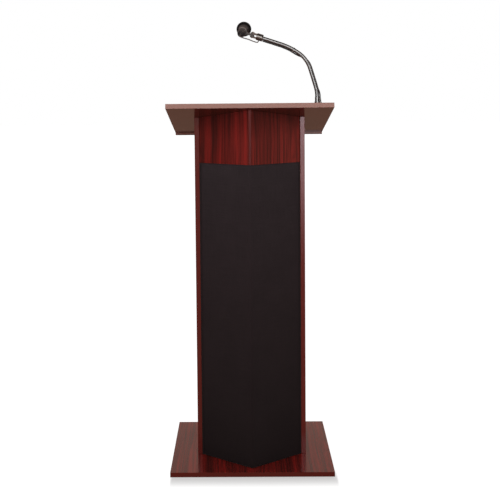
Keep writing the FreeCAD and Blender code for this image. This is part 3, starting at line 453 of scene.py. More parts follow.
def cloth_material():
    g = Graph("woven_grille_cloth")
    x, y, z = g.split(g.coords())
    # distance along the fold, so that the threads keep their size on both sides of the V
    along = g.math("MULTIPLY", g.math("ABSOLUTE", x), 1.1975)
    warp = g.math("SINE", g.math("MULTIPLY", along, 2 * math.pi / 0.0016))
    weft = g.math("SINE", g.math("MULTIPLY", z, 2 * math.pi / 0.0016))
    over = g.math("MULTIPLY", warp, weft)
    slub = g.noise(g.join(g.math("MULTIPLY", along, 900.0), 0.0, g.math("MULTIPLY", z, 14.0)), 1.0, 2.0, 0.5)
    slub2 = g.noise(g.join(g.math("MULTIPLY", along, 14.0), 0.0, g.math("MULTIPLY", z, 900.0)), 1.0, 2.0, 0.5)
    cloud = g.noise(g.coords(), 9.0, 3.0, 0.55)
    height = g.math("MULTIPLY_ADD", over, 0.5, g.math("ADD", slub, slub2))
    tone = g.math("MULTIPLY_ADD", over, 0.10, g.math("MULTIPLY_ADD", slub, 0.35, g.math("MULTIPLY", slub2, 0.35)))
    tone = g.math("MULTIPLY_ADD", cloud, 0.25, tone)
    col = g.ramp(tone, [(0.25, (0.0094, 0.0057, 0.0066)), (0.75, (0.0222, 0.0139, 0.0158))])
    # painted light: the cloth is brighter and cooler towards the top, as if lit from above, and darker and warmer low
    # down, as if lit by red bounce from the base
    col = g.times(col, g.remap(z, 0.12, 1.04, 0.80, 1.95))
    painted_light_tint = g.node("Mix", data_type="RGBA", blend_type="MULTIPLY")
    painted_light_tint.inputs[0].default_value = 1.0
    g.plug(col, painted_light_tint.inputs[6])
    g.plug(g.ramp(g.remap(z, 0.12, 1.04, 0.0, 1.0), [(0.0, (1.0, 0.93, 0.93)), (0.45, (0.98, 0.97, 0.99)), (1.0, (1.0, 1.14, 1.17))]), painted_light_tint.inputs[7])
    col = painted_light_tint.outputs[2]
    # painted shade: the edges beside the side panels stay dark
    col = g.times(col, g.remap(g.math("ABSOLUTE", x), 0.1640, 0.1745, 1.0, 0.55, True))
    g.set(Base_Color=col, Roughness=0.85, Specular_IOR_Level=0.18, Sheen_Weight=0.10, Sheen_Roughness=0.5,
          Sheen_Tint=(0.75, 0.62, 0.64, 1), Normal=g.bump(height, 0.35, 0.0004))
    return g


def black_board(name="black_painted_board"):
    g = Graph(name)
    n1 = g.noise(g.coords(), 420.0, 3.0, 0.6)
    n2 = g.noise(g.coords(), 14.0, 3.0, 0.6)
    g.set(Base_Color=g.ramp(n2, [(0.3, (0.010, 0.0095, 0.0095)), (0.7, (0.017, 0.016, 0.016))]),
          Roughness=g.remap(n1, 0.3, 0.7, 0.62, 0.78), Normal=g.bump(n1, 0.2, 0.0003))
    return g


def metal(name, colour, rough, grain=900.0, vary=0.08, metallic=1.0, bump=0.05, coat=0.0):
    g = Graph(name)
    n1 = g.noise(g.coords(), grain, 3.0, 0.6)
    n2 = g.noise(g.coords(), 22.0, 3.0, 0.6)
    c0 = tuple(k * 0.85 for k in colour)
    c1 = tuple(min(1, k * 1.12) for k in colour)
    g.set(Base_Color=g.ramp(n2, [(0.3, c0), (0.7, c1)]), Metallic=metallic,
          Roughness=g.remap(n1, 0.3, 0.7, rough - vary / 2, rough + vary / 2), Normal=g.bump(n1, bump, 0.0002),
          Coat_Weight=coat)
    return g


def plastic(name, colour, rough, grain=1500.0, bump=0.12, spec=0.5, upper_shade=None):
    g = Graph(name)
    n1 = g.noise(g.coords(), grain, 2.0, 0.5)
    n2 = g.noise(g.coords(), 30.0, 3.0, 0.6)
    col = g.ramp(n2, [(0.3, tuple(k * 0.88 for k in colour)), (0.7, tuple(k * 1.12 for k in colour))])
    if upper_shade:
        # painted shade: the jacket keeps its colour below the first height and darkens to the third value above the
        # second, where the lead runs shaded beneath the neck
        col = g.times(col, g.remap(g.split(g.coords())[2], upper_shade[0], upper_shade[1], 1.0, upper_shade[2], True))
    g.set(Base_Color=col,
          Roughness=g.remap(n2, 0.3, 0.7, rough - 0.04, rough + 0.06), Specular_IOR_Level=spec, Normal=g.bump(n1, bump, 0.00025))
    return g


def mesh_material(name):
    """Diamond wire mesh of a microphone's ball."""
    g = Graph(name)
    n2 = g.noise(g.coords(), 60.0, 3.0, 0.6)
    g.set(Base_Color=g.ramp(n2, [(0.3, (0.034, 0.034, 0.042)), (0.7, (0.052, 0.051, 0.062))]), Metallic=0.85, Roughness=g.remap(n2, 0.3, 0.7, 0.36, 0.48),
          Normal=g.bump(g.noise(g.coords(), 1800.0, 2.0, 0.5), 0.1, 0.0001))
    return g


M = {}
# painted light: the right panel's edge band is mixed brighter than the left's, as if more strongly lit
M["side_l"] = mahogany("mahogany_side_left", "Z", 0.31, band=("-Y", "Y"), band_rgb=(0.128, 0.0120, 0.0084), shade=1.25)
M["side_r"] = mahogany("mahogany_side_right", "Z", 1.73, band=("-Y", "Y"), band_rgb=(0.150, 0.0150, 0.0115), shade=1.25)
# the two front boards carry painted shade under the reading top and beside the side panels
M["front_l"] = mahogany("mahogany_front_left", "Z", 2.37, shade=1.42, brown=0.94, contrast=0.88, streak=1.5, bands=0.34, figure=0.46, spec=0.22, seam_shade=True, glow=(-0.11, -0.01, 0.95, 1.36))
M["front_r"] = mahogany("mahogany_front_right", "Z", 4.91, shade=1.53, brown=1.40, lines=1.6, contrast=0.80, streak=2.1, bands=0.34, figure=0.26, spec=0.30, seam_shade=True,
                        glow=(0.02, 0.15, 0.95, 1.22))
M["strip"] = mahogany("mahogany_corner_strip", "Z", 6.2, band=("-Y",), band_rgb=(0.112, 0.0132, 0.0112), shade=1.2, spec=0.2)
M["inner"] = mahogany("mahogany_shelves", "X", 3.3, band=("Y",), shade=1.25)
M["back"] = mahogany("mahogany_back", "Z", 5.2, shade=1.25)
M["base"] = mahogany("mahogany_base", "Y", 0.77, shade=1.40, rough=0.15, band=("-Y", "Y", "X", "-X"), band_rgb=(0.115, 0.0100, 0.0070),
                     streak=1.9, lines=1.3, contrast=0.70)
M["top"] = mahogany("mahogany_top", "Y", 8.4, underside=(0.069, 0.0120, 0.0080), rough=0.16, band=("-Y", "Y", "X", "-X"),
                    band_rgb=(0.275, 0.084, 0.057), shade=1.25)
# painted light and shade: the stop's front and top faces are mixed brighter than the top's own edge band, and its
# bottom face near-black as a painted shadow line
M["stop"] = mahogany("mahogany_paper_stop", "X", 9.4, band=("-Y", "Z"), band_rgb=(0.290, 0.090, 0.060), underside=(0.016, 0.005, 0.004), shade=1.25)
M["cloth"] = cloth_material()
M["board"] = black_board()
M["zinc"] = metal("zinc_plated_steel", (0.62, 0.61, 0.58), 0.30)
M["black_steel"] = metal("black_powder_coat", (0.018, 0.018, 0.019), 0.48, 700.0, 0.1, 0.0, 0.35)
M["neck"] = metal("dark_nickel", (0.315, 0.335, 0.352), 0.37, 1200.0, 0.06)
M["ferrule"] = metal("dark_nickel_ferrule", (0.36, 0.38, 0.40), 0.30, 1200.0, 0.06)
M["clip"] = plastic("black_nylon", (0.016, 0.0145, 0.0175), 0.45, spec=0.25)
M["arm"] = plastic("grey_nylon", (0.115, 0.108, 0.108), 0.40)
M["collar"] = metal("pewter_collar", (0.27, 0.267, 0.262), 0.36, 900.0, 0.08)
M["boot"] = metal("plug_barrel", (0.40, 0.41, 0.43), 0.38, 900.0, 0.08, 0.8)
M["mic"] = plastic("microphone_lacquer", (0.0265, 0.0240, 0.0285), 0.40, 1400.0, 0.05, 0.20)
M["mesh"] = mesh_material("microphone_mesh")
# painted shade on the lead's upper run, beneath the neck
M["rubber"] = plastic("cable_jacket", (0.085, 0.083, 0.087), 0.36, 900.0, 0.1, upper_shade=(1.37, 1.43, 0.16))
# painted light: the loop is the same lead as the run, mixed lighter and warmer as if it catches more light
M["loop"] = plastic("cable_jacket_loop", (0.105, 0.078, 0.070), 0.42, 900.0, 0.1)
M["glide"] = plastic("nylon_glide", (0.035, 0.034, 0.034), 0.55)
M["knob"] = plastic("knob_plastic", (0.022, 0.022, 0.023), 0.36)
M["switch"] = plastic("switch_plastic", (0.012, 0.012, 0.013), 0.25)
M["lamp"] = plastic("red_lens", (0.42, 0.012, 0.008), 0.12, 200.0, 0.02)
M["pcb"] = plastic("solder_resist", (0.012, 0.075, 0.028), 0.35)
M["ferrite"] = metal("ferrite", (0.05, 0.05, 0.052), 0.6, 300.0, 0.1, 0.2, 0.2)
M["cone"] = plastic("pressed_paper", (0.020, 0.020, 0.021), 0.75, 500.0, 0.3)
M["core"] = metal("transformer_core", (0.16, 0.15, 0.14), 0.45, 500.0, 0.1, 0.8, 0.3)
M["chassis"] = metal("galvanised_chassis", (0.55, 0.56, 0.57), 0.42, 90.0, 0.15)
M["mark"] = plastic("white_print", (0.62, 0.62, 0.60), 0.5)
M["capsule"] = metal("capsule_nickel", (0.4, 0.39, 0.37), 0.3)

USE = {
    "side_panel_left": "side_l", "side_panel_right": "side_r", "upper_front_left": "front_l", "upper_front_right": "front_r",
    "prow_corner_strip": "strip", "chamber_back": "back", "amp_shelf": "inner", "lower_shelf": "inner", "bottom_rail": "inner",
    "amp_fascia": "inner", "base_plate": "base", "reading_top": "top", "paper_stop": "stop",
    "baffle_left": "board", "baffle_right": "board", "grille_frame_left": "board", "grille_frame_right": "board",
    "base_screws": "zinc", "bracket_screws": "zinc", "flange_screws": "zinc", "top_brackets": "zinc", "clip_screw": "zinc",
    "mic_jack": "zinc", "line_jack": "zinc", "potentiometers": "zinc", "speaker_frames": "black_steel",
    "speaker_cones": "cone", "speaker_magnets": "ferrite", "control_panel": "black_steel", "amp_chassis": "chassis",
    "amp_circuit_board": "pcb", "transformer": "core", "knob_mic": "knob", "knob_line": "knob", "knob_bass": "knob",
    "knob_treble": "knob", "power_switch_housing": "switch", "power_rocker": "switch", "power_lamp": "lamp",
    "mains_inlet": "switch", "neck_flange": "collar", "neck_ferrule": "ferrule", "mic_plug": "boot", "clip_base": "collar",
    "clip_cradle": "arm", "mic_switch": "clip", "mic_capsule": "capsule", "mic_tail_plug": "clip", "base_glides": "glide",
}
for n, key in USE.items():
    paint(NODES[n], M[key])

for n in ("side_panel_left", "side_panel_right", "base_plate", "reading_top", "paper_stop"):
    soften(n, 0.0009, 3)
for n in ("upper_front_left", "upper_front_right", "amp_shelf", "lower_shelf", "bottom_rail", "amp_fascia", "chamber_back"):
    soften(n, 0.0006, 2)
for n in ("prow_corner_strip",):
    soften(n, 0.0005, 2, 20)
for n in ("control_panel", "power_switch_housing", "power_rocker", "mains_inlet", "top_brackets", "clip_base", "clip_cradle", "amp_chassis"):
    soften(n, 0.0004, 2, 40)

# ------------------------------------------------------------------ grille cloth
def grille_cloth():
    """One sheet stretched over two frames: it hugs the rails, bellies in a touch over each window and folds softly at the prow."""
    lo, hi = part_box("grille_cloth")
    z0, z1 = lo.z, hi.z
    half = hi.x
    apex_y, side_y = lo.y, None
    slope = (0.188 - 0.072) / 0.176
    side_y = apex_y + half * slope
    fold = 0.0035
    cols, rows = 72, 180
    verts, faces = [], []
    nrm_s, nrm_c = math.sin(math.atan(slope)), math.cos(math.atan(slope))

    def front(u, z):
        # u in -1..1 across the sheet
        xx = u * half
        d = abs(xx)
        # soft fold: a short parabola at the apex
        y = apex_y + (d * slope if d > fold else slope * (d * d / (2 * fold) + fold / 2))
        y = min(y, apex_y + d * slope + fold)
        # pull-in over the frames' windows
        along = d / nrm_c
        fr = 0.026
        win = 0.0
        for a, b in ((0.060, 0.520), (0.560, 1.030)):
            kz = max(0.0, min(1.0, (z - a) / 0.030)) * max(0.0, min(1.0, (b - z) / 0.030))
            ku = max(0.0, min(1.0, (along - fr) / 0.030)) * max(0.0, min(1.0, (0.2108 - fr - along) / 0.030))
            win = max(win, kz * ku)
        win = win * win * (3 - 2 * win)
        wob = 0.00025 * noise.noise(Vector((xx * 9.0, z * 2.2, 3.1))) + 0.00012 * noise.noise(Vector((xx * 30.0, z * 7.0, 9.7)))
        depth = 0.0008 * win + wob
        sx = 1 if xx >= 0 else -1
        return Vector((xx - sx * nrm_s * depth * (1 if d > fold else 0), y + nrm_c * depth, z))

    us = []
    for i in range(cols + 1):
        t = -1 + 2 * i / cols
        us.append((abs(t) ** 1.35) * (1 if t >= 0 else -1))
    for j in range(rows + 1):
        z = z0 + (z1 - z0) * j / rows
        for u in us:
            verts.append(front(u, z))
    n = cols + 1
    for j in range(rows):
        for i in range(cols):
            faces.append((j * n + i, j * n + i + 1, (j + 1) * n + i + 1, (j + 1) * n + i))
    ob = mesh_object("grille_cloth_sheet", verts, faces)
    # make sure that the sheet faces the audience, then give it its real thickness towards the cabinet
    if sum(p.normal.y for p in ob.data.polygons) > 0:
        ob.data.flip_normals()
    modify(ob, "SOLIDIFY", "thickness", thickness=0.0009, offset=-1.0)
    paint(ob, M["cloth"])
    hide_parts("grille_cloth")
    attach(ob, "cabinet")
    return ob


grille_cloth()

# ------------------------------------------------------------------ gooseneck hose
PITCH = 0.0016


def hose_radius(s):
    """Interlocked hose: rounded turns with a narrow groove between them."""
    ph = (s / PITCH) % 1.0
    return 0.0065 - 0.00006 * (0.5 + 0.5 * math.cos(2 * math.pi * ph)) ** 3


def hose(name, a, b, step=0.00026667):
    n = int(round((b - a) / step))
    st = []
    for i in range(n + 1):
        s = a + (b - a) * i / n
        c, t, inner, rear = neck_frame(s)
        st.append((c, inner, t.cross(inner), hose_radius(s)))
    return tube(name, st, 32)


MIDS = [-0.004, 0.0375, 0.1125, 0.1875, 0.311]
hoses = []
for i in range(4):
    a, b = MIDS[i], MIDS[i + 1]
    h = hose("neck_hose_%d" % (i + 1), a, b)
    paint(h, M["neck"])
    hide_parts("neck_tube_%d" % (i + 1))
    e = b if i < 3 else 0.2625
    tuple(neck_frame(a)[0])
    tuple(neck_frame(e)[0])
    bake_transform(h)
    hoses.append(h)

# ------------------------------------------------------------------ microphone lead along the neck
LEAD_R = 0.0025
OFF = 0.0065 + LEAD_R + 0.0001


def smooth01(t):
    t = max(0.0, min(1.0, t))
    return t * t * (3 - 2 * t)


def lead_point(s):
    """The lead lies behind the neck's outer side below, then slips round its back to the underside of the upper half."""
    c, t, inner, rear = neck_frame(s)
    w = -math.radians(50.0) + smooth01((s - 0.118) / 0.075) * math.radians(140.0)
    d = inner * math.sin(w) + rear * math.cos(w)
    wob = 0.0003 * math.sin(s * 95.0)
    return c + d * (OFF + abs(wob))


jack_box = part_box("mic_plug")
plug_top = neck_point(0.0124, 0.028, 0.0372)
start_run = 0.028
head = [plug_top, neck_point(0.0124, 0.028, 0.047), neck_point(0.0100, 0.0225, 0.0565)]
run = [lead_point(start_run + 0.0015 * k) for k in range(int((0.297 - start_run) / 0.0015) + 1)]
foot_curve = catmull(head + [lead_point(0.028), lead_point(0.034)], 8)[:-8]
foot_curve = foot_curve[:-1]


def slice_run(a, b):
    n = max(6, int((b - a) / 0.0015))
    return [lead_point(a + (b - a) * k / n) for k in range(n + 1)]


def lead(name, pts, radius=LEAD_R):
    return tube(name, cable_stations(pts, radius, Vector((0, 1, 0.3)).normalized()), 14, True, True)


# from the plug (cabinet) to a point that turns with the neck, then on to the first length
part_a = foot_curve + [lead_point(0.028)]
part_b = slice_run(0.028, 0.0375)
la = lead("mic_lead_plug_end", part_a)
paint(la, M["rubber"])
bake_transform(la)
lb = lead("mic_lead_foot", part_b)
paint(lb, M["rubber"])
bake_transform(lb)
for i, (a, b) in enumerate(((0.0375, 0.1125), (0.1125, 0.1875), (0.1875, 0.297))):
    o = lead("mic_lead_run_%d" % (i + 1), slice_run(a, b))
    paint(o, M["rubber"])
    e = b if i < 2 else 0.2625
    tuple(lead_point(a))
    tuple(lead_point(e))
    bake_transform(o)
    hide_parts(*(["mic_cable_1", "mic_cable_2"] if i == 0 else ["mic_cable_3"] if i == 1 else ["mic_cable_4"]))

# a hook-and-loop tie that holds the lead to the neck, at the middle of a length
def tie(name, s, body, width=0.007):
    c, t, inner, rear = neck_frame(s)
    p = lead_point(s)
    d = (p - c).normalized()
    side = t.cross(d)
    prof = []
    n = 40
    pts = []
    for k in range(n):
        w = 2 * math.pi * k / n
        dirv = Vector((math.cos(w), math.sin(w)))
        # outline round the tube (radius a at 0) and round the lead (radius b at OFF)
        best = 0.0
        for cx, r in ((0.0, 0.0065), (OFF, LEAD_R)):
            # support function of the hull of the two circles
            best = max(best, cx * dirv.x + r)
        pts.append((dirv, best))
    outer = []
    for k in range(n):
        d0, h0 = pts[k]
        d1, h1 = pts[(k + 1) % n]
        det = d0.x * d1.y - d0.y * d1.x
        outer.append(Vector(((h0 * d1.y - h1 * d0.y) / det, (d0.x * h1 - d1.x * h0) / det)))
    verts, faces = [], []
    for layer, off in (("o", 0.0009), ("i", 0.00005)):
        for zz in (-width / 2, width / 2):
            for q in outer:
                qq = q.normalized() * (q.length + off)
                verts.append(c + d * qq.x + side * qq.y + t * zz)
    for k in range(n):
        k2 = (k + 1) % n
        o0, o1, i0, i1 = 0, n, 2 * n, 3 * n
        faces += [(o0 + k, o0 + k2, o1 + k2, o1 + k), (i0 + k2, i0 + k, i1 + k, i1 + k2),
                  (o0 + k2, o0 + k, i0 + k, i0 + k2), (o1 + k, o1 + k2, i1 + k2, i1 + k)]
    ob = mesh_object(name, verts, faces)
    sharpen(ob, 40)
    paint(ob, M["neck"])
    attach(ob, body)
    return ob


tie("cable_tie", 0.1875, "neck_high", 0.004)

# ------------------------------------------------------------------ microphone
TJ = JOINT["mic_tilt"]
SL = JOINT["mic_slide"]
PIVOT = Vector(TJ["pos_m"])
MDIR = Vector(SL["axis"]).normalized()
MUP = -Vector(TJ["axis"]).normalized()
c_end, t_end, in_end, rear_end = neck_frame(0.301)
E1 = (t_end - MDIR * t_end.dot(MDIR)).normalized()
GRIP = PIVOT + E1 * 0.0372
BALL_AT, BALL_R = 0.082, 0.0255
TAIL = 0.0554


def arc_profile(cx, cz, r, a0, a1, n):
    return [(cx + r * math.cos(math.radians(a0 + (a1 - a0) * k / n)), cz + r * math.sin(math.radians(a0 + (a1 - a0) * k / n))) for k in range(n + 1)]


hp = [(0.0, -TAIL + 0.0012), (0.0080, -TAIL + 0.0012), (0.0080, -TAIL), (0.0094, -TAIL)]
hp += arc_profile(0.0094, -TAIL + 0.0014, 0.0014, -90, 0, 5)
hp += [(0.0108, -TAIL + 0.0060), (0.0104, -TAIL + 0.0064), (0.0104, -TAIL + 0.0074), (0.0109, -TAIL + 0.0078)]
for k in range(13):
    t = k / 12
    hp.append((0.0111 + (0.0139 - 0.0111) * smooth01(t), -TAIL + 0.0090 + 0.0160 * t))
hp += [(0.0139, 0.0), (0.0139, 0.030)]
for k in range(1, 13):
    t = k / 12
    hp.append((0.0139 + (0.0178 - 0.0139) * (t ** 1.5), 0.030 + 0.0245 * t))
na = BALL_AT - 0.0195
hp += arc_profile(0.0176, na - 0.0065, 0.0010, 0, 75, 4)
hp += [(0.0176, na - 0.0052), (0.0182, na - 0.0046), (0.0186, na - 0.0038), (0.0186, na), (0.0169, na), (0.0169, na + 0.003),
       (0.012, na + 0.003), (0.012, na - 0.012), (0.0, na - 0.012)]
handle = lathe("mic_handle_body", GRIP, MDIR, hp, 72, E1, close=False)
sharpen(handle, 35)
paint(handle, M["mic"])
# a flat pocket for the thumb switch
cutter_me = bpy.data.meshes.new("switch_pocket_tool")
bm = bmesh.new()
bmesh.ops.create_cube(bm, size=1.0)
bmesh.ops.scale(bm, vec=(0.0072, 0.0044, 0.0152), verts=bm.verts)
bm.to_mesh(cutter_me)
bm.free()
cutter = link(bpy.data.objects.new("switch_pocket_tool", cutter_me))
rot = Matrix((E1, MUP, MDIR)).transposed().to_4x4()
cutter.matrix_world = Matrix.Translation(GRIP + MUP * 0.0139 + MDIR * 0.027) @ rot
bm = bmesh.new()
bm.from_mesh(handle.data)
bmesh.ops.recalc_face_normals(bm, faces=bm.faces)
bm.to_mesh(handle.data)
bm.free()
bo = modify(handle, "BOOLEAN", "pocket", operation="DIFFERENCE", object=cutter, solver="EXACT")
bpy.context.view_layer.update()
dg = bpy.context.evaluated_depsgraph_get()
cut_me = bpy.data.meshes.new_from_object(handle.evaluated_get(dg))
handle.modifiers.clear()
handle.data = cut_me
bpy.data.objects.remove(cutter)
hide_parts("mic_handle")
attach(handle, "microphone")


def wire_ball():
    """Ball of crossed spiral wires over a dark inner basket, with a plain band round its middle."""
    parts_v, parts_f = [], []
    centre = GRIP + MDIR * BALL_AT
    a, b = E1, MDIR.cross(E1).normalized()
    R0 = BALL_R - 0.0003
    rw = 0.00033
    ring = 5
    wires = 46
    lat0, lat1 = -47.0, 90.0
    for sense in (1, -1):
        for k in range(wires):
            base = 2 * math.pi * k / wires
            n = 34
            path = []
            for i in range(n + 1):
                # even steps, stopping short of the pole so that wires don't pile up
                lat = math.radians(lat0 + (lat1 - 3.0 - lat0) * i / n)
                lon = base + sense * (math.radians(62.0) * i / n)
                rr = R0 + (0.00022 if sense > 0 else -0.00022)
                path.append(centre + (a * math.cos(lon) + b * math.sin(lon)) * (rr * math.cos(lat)) + MDIR * (rr * math.sin(lat)))
            off = len(parts_v)
            for c, s1, s2, r in cable_stations(path, rw, MDIR + E1 * 0.01):
                for q in range(ring):
                    w = 2 * math.pi * q / ring
                    parts_v.append(c + s1 * (r * math.cos(w)) + s2 * (r * math.sin(w)))
            for i in range(n):
                for q in range(ring):
                    q2 = (q + 1) % ring
                    parts_f.append((off + i * ring + q, off + i * ring + q2, off + (i + 1) * ring + q2, off + (i + 1) * ring + q))
            parts_f.append(tuple(off + q for q in reversed(range(ring))))
            parts_f.append(tuple(off + n * ring + q for q in range(ring)))
    ob = mesh_object("mic_ball_wires", parts_v, parts_f)
    paint(ob, M["mesh"])
    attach(ob, "microphone")
    return ob


wire_ball()
# inner basket and foam behind the wires
ib = []
for k in range(41):
    lat = math.radians(-47 + 137 * k / 40)
    ib.append((max(0.0, (BALL_R - 0.0011) * math.cos(lat)) if k < 40 else 0.0, BALL_AT + (BALL_R - 0.0011) * math.sin(lat)))
for k in range(40, -1, -1):
    lat = math.radians(-47 + 137 * k / 40)
    ib.append((max(0.0, (BALL_R - 0.0020) * math.cos(lat)) if k < 40 else 0.0, BALL_AT + (BALL_R - 0.0020) * math.sin(lat)))
basket = lathe("mic_ball_basket", GRIP, MDIR, ib, 72, E1, close=False)
paint(basket, plastic("ball_foam", (0.010, 0.0095, 0.010), 0.8, 900.0, 0.4))
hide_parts("mic_grille")
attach(basket, "microphone")
bp = [(BALL_R - 0.0006, BALL_AT - 0.0026), (BALL_R + 0.0002, BALL_AT - 0.0026), (BALL_R + 0.0005, BALL_AT - 0.0022), (BALL_R + 0.0005, BALL_AT + 0.0022),
      (BALL_R + 0.0002, BALL_AT + 0.0026), (BALL_R - 0.0006, BALL_AT + 0.0026)]
band = lathe("mic_ball_band", GRIP, MDIR, bp, 96, E1)
sharpen(band, 35)
paint(band, M["mic"])
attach(band, "microphone")
rp = [(0.0171, na), (0.0186, na), (0.0189, na + 0.0008), (0.0189, na + 0.0016), (0.0180, na + 0.0030), (0.0171, na + 0.0030)]
ringo = lathe("mic_ball_ring", GRIP, MDIR, rp, 72, E1)
sharpen(ringo, 35)
paint(ringo, M["mic"])
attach(ringo, "microphone")

# tail plug: turned shell and strain relief with ribs
tp = [(0.0, -TAIL - 0.0340), (0.0027, -TAIL - 0.0340), (0.0034, -TAIL - 0.0336)]
zz = -TAIL - 0.0325
rr = 0.0035
for k in range(6):
    tp += [(rr, zz), (rr + 0.0001, zz + 0.0016), (rr - 0.0006, zz + 0.0019), (rr - 0.0006, zz + 0.0024)]
    zz += 0.0026
    rr += 0.00018
tp += [(0.0052, zz), (0.0074, zz + 0.0012), (0.0085, zz + 0.0024), (0.0085, -TAIL - 0.0006), (0.0080, -TAIL), (0.0, -TAIL)]
plug = lathe("mic_tail_connector", GRIP, MDIR, tp, 48, E1, close=False)
sharpen(plug, 35)
paint(plug, M["clip"])
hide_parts("mic_tail_plug")
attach(plug, "microphone")

# the lead's free loop: out of the tail, round below the clip and back to the neck
e0 = GRIP - MDIR * (TAIL + 0.0335)
join = lead_point(0.297)
tj = (lead_point(0.297) - lead_point(0.294)).normalized()
loop_pts = [e0, e0 - MDIR * 0.010, e0 - MDIR * 0.019 + Vector((0.006, 0, -0.004)),
            Vector((-0.004, -0.203 + DY, 1.4810)), Vector((0.013, -0.176 + DY, 1.4760)), Vector((0.028, -0.142 + DY, 1.4742)),
            join + tj * 0.016 + Vector((0.001, -0.008, -0.0035)), join]
path = catmull(loop_pts, 9)
mid = 27
l1, l2 = path[:mid + 1], path[mid:]
LOOP_R = 0.0017
o1 = lead("mic_lead_loop_tail", l1, LOOP_R)
paint(o1, M["loop"])
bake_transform(o1)
o2 = lead("mic_lead_loop_neck", l2, LOOP_R)
paint(o2, M["loop"])
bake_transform(o2)

# ------------------------------------------------------------------ scale marks on the control panel
panel_lo, panel_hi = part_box("control_panel")


def dots(name, spots, radius, height, ydir=1.0):
    verts, faces = [], []
    for cx, cz, r in spots:
        off = len(verts)
        n = 14
        for y in (panel_hi.y, panel_hi.y + height):
            for k in range(n):
                w = 2 * math.pi * k / n
                verts.append(Vector((cx + r * math.cos(w), y, cz + r * math.sin(w))))
        for k in range(n):
            k2 = (k + 1) % n
            faces.append((off + k, off + k2, off + n + k2, off + n + k))
        faces.append(tuple(off + k for k in range(n)))
        faces.append(tuple(off + n + k for k in reversed(range(n))))
    ob = mesh_object(name, verts, faces, False)
    paint(ob, M["mark"])
    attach(ob, "cabinet")
    return ob


marks = []
for n in ("knob_mic", "knob_line", "knob_bass", "knob_treble"):
    lo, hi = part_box(n)
    cx, cz = (lo.x + hi.x) / 2, (lo.z + hi.z) / 2
    for k in range(11):
        w = math.radians(90 + 150 - 30 * k)
        marks.append((cx + 0.0158 * math.cos(w), cz + 0.0158 * math.sin(w), 0.0008 if k % 5 else 0.0012))
dots("dial_marks", marks, 0.0008, 0.00015)

# ------------------------------------------------------------------ floor, light, camera
FRONT_FILL, BACK_FILL, ROOM_BACK = 0.16, 0.75, 0.62


def stage_material():
    """White sweep. The camera sees it bright with a soft contact shade along the foot; reflections see a warm dim room."""
    g = Graph("studio_white")
    nt = g.nt
    nt.nodes.remove(g.bsdf)
    x, y, z = g.split(g.coords())
    # distance outside the foot's outline
    dx = g.math("SUBTRACT", g.math("ABSOLUTE", g.math("SUBTRACT", x, 0.005)), 0.2770)
    dy = g.math("SUBTRACT", g.math("ABSOLUTE", g.math("SUBTRACT", y, -0.020 + DY)), 0.2000)
    ox = g.math("MAXIMUM", dx, 0.0)
    oy = g.math("MAXIMUM", dy, 0.0)
    ox = g.math("MULTIPLY", ox, 7.0)
    dist = g.math("SQRT", g.math("MULTIPLY_ADD", ox, ox, g.math("MULTIPLY", oy, oy)))
    front = g.remap(y, -0.15, -0.23, 0.12, 1.0, True)
    fade = g.math("MULTIPLY", g.remap(dist, 0.0, 0.085, 0.44, 0.0, True), front)
    white = g.math("SUBTRACT", 0.93, fade)
    cam = g.node("Emission")
    cam.inputs[0].default_value = (1.0, 1.0, 1.0, 1)
    g.plug(white, cam.inputs[1])
    dif = g.node("BsdfDiffuse")
    dif.inputs[0].default_value = (0.30, 0.30, 0.305, 1)
    seen = g.node("AddShader")
    g.plug(cam.outputs[0], seen.inputs[0])
    g.plug(dif.outputs[0], seen.inputs[1])
    bounce = g.node("Emission")
    bounce.inputs[0].default_value = (1.0, 0.97, 0.95, 1)
    bounce.inputs[1].default_value = 0.42
    warm = g.node("Emission")
    warm.inputs[0].default_value = (0.25, 0.135, 0.095, 1)
    warm.inputs[1].default_value = 1.0
    path = g.node("LightPath")
    m1 = g.node("MixShader")
    g.plug(path.outputs["Is Glossy Ray"], m1.inputs[0])
    g.plug(bounce.outputs[0], m1.inputs[1])
    g.plug(warm.outputs[0], m1.inputs[2])
    m2 = g.node("MixShader")
    g.plug(path.outputs["Is Camera Ray"], m2.inputs[0])
    g.plug(m1.outputs[0], m2.inputs[1])
    g.plug(seen.outputs[0], m2.inputs[2])
    g.plug(m2.outputs[0], g.out.inputs[0])
    return g.mat


fl = mesh_object("studio_floor", [Vector((-30, -30, 0)), Vector((30, -30, 0)), Vector((30, 30, 0)), Vector((-30, 30, 0))], [(0, 1, 2, 3)], False)
fl.data.materials.append(stage_material())

world = bpy.data.worlds.new("studio")
scene.world = world
world.use_nodes = True
nt = world.node_tree
nt.nodes.clear()


def wnode(kind, **props):
    n = nt.nodes.new("ShaderNode" + kind)
    for k, v in props.items():
        setattr(n, k, v)
    return n


def wramp(src, a, b, c, d):
    n = wnode("MapRange", interpolation_type="SMOOTHSTEP")
    nt.links.new(src, n.inputs[0])
    for i, k in enumerate((a, b, c, d)):
        n.inputs[i + 1].default_value = k
    return n.outputs[0]


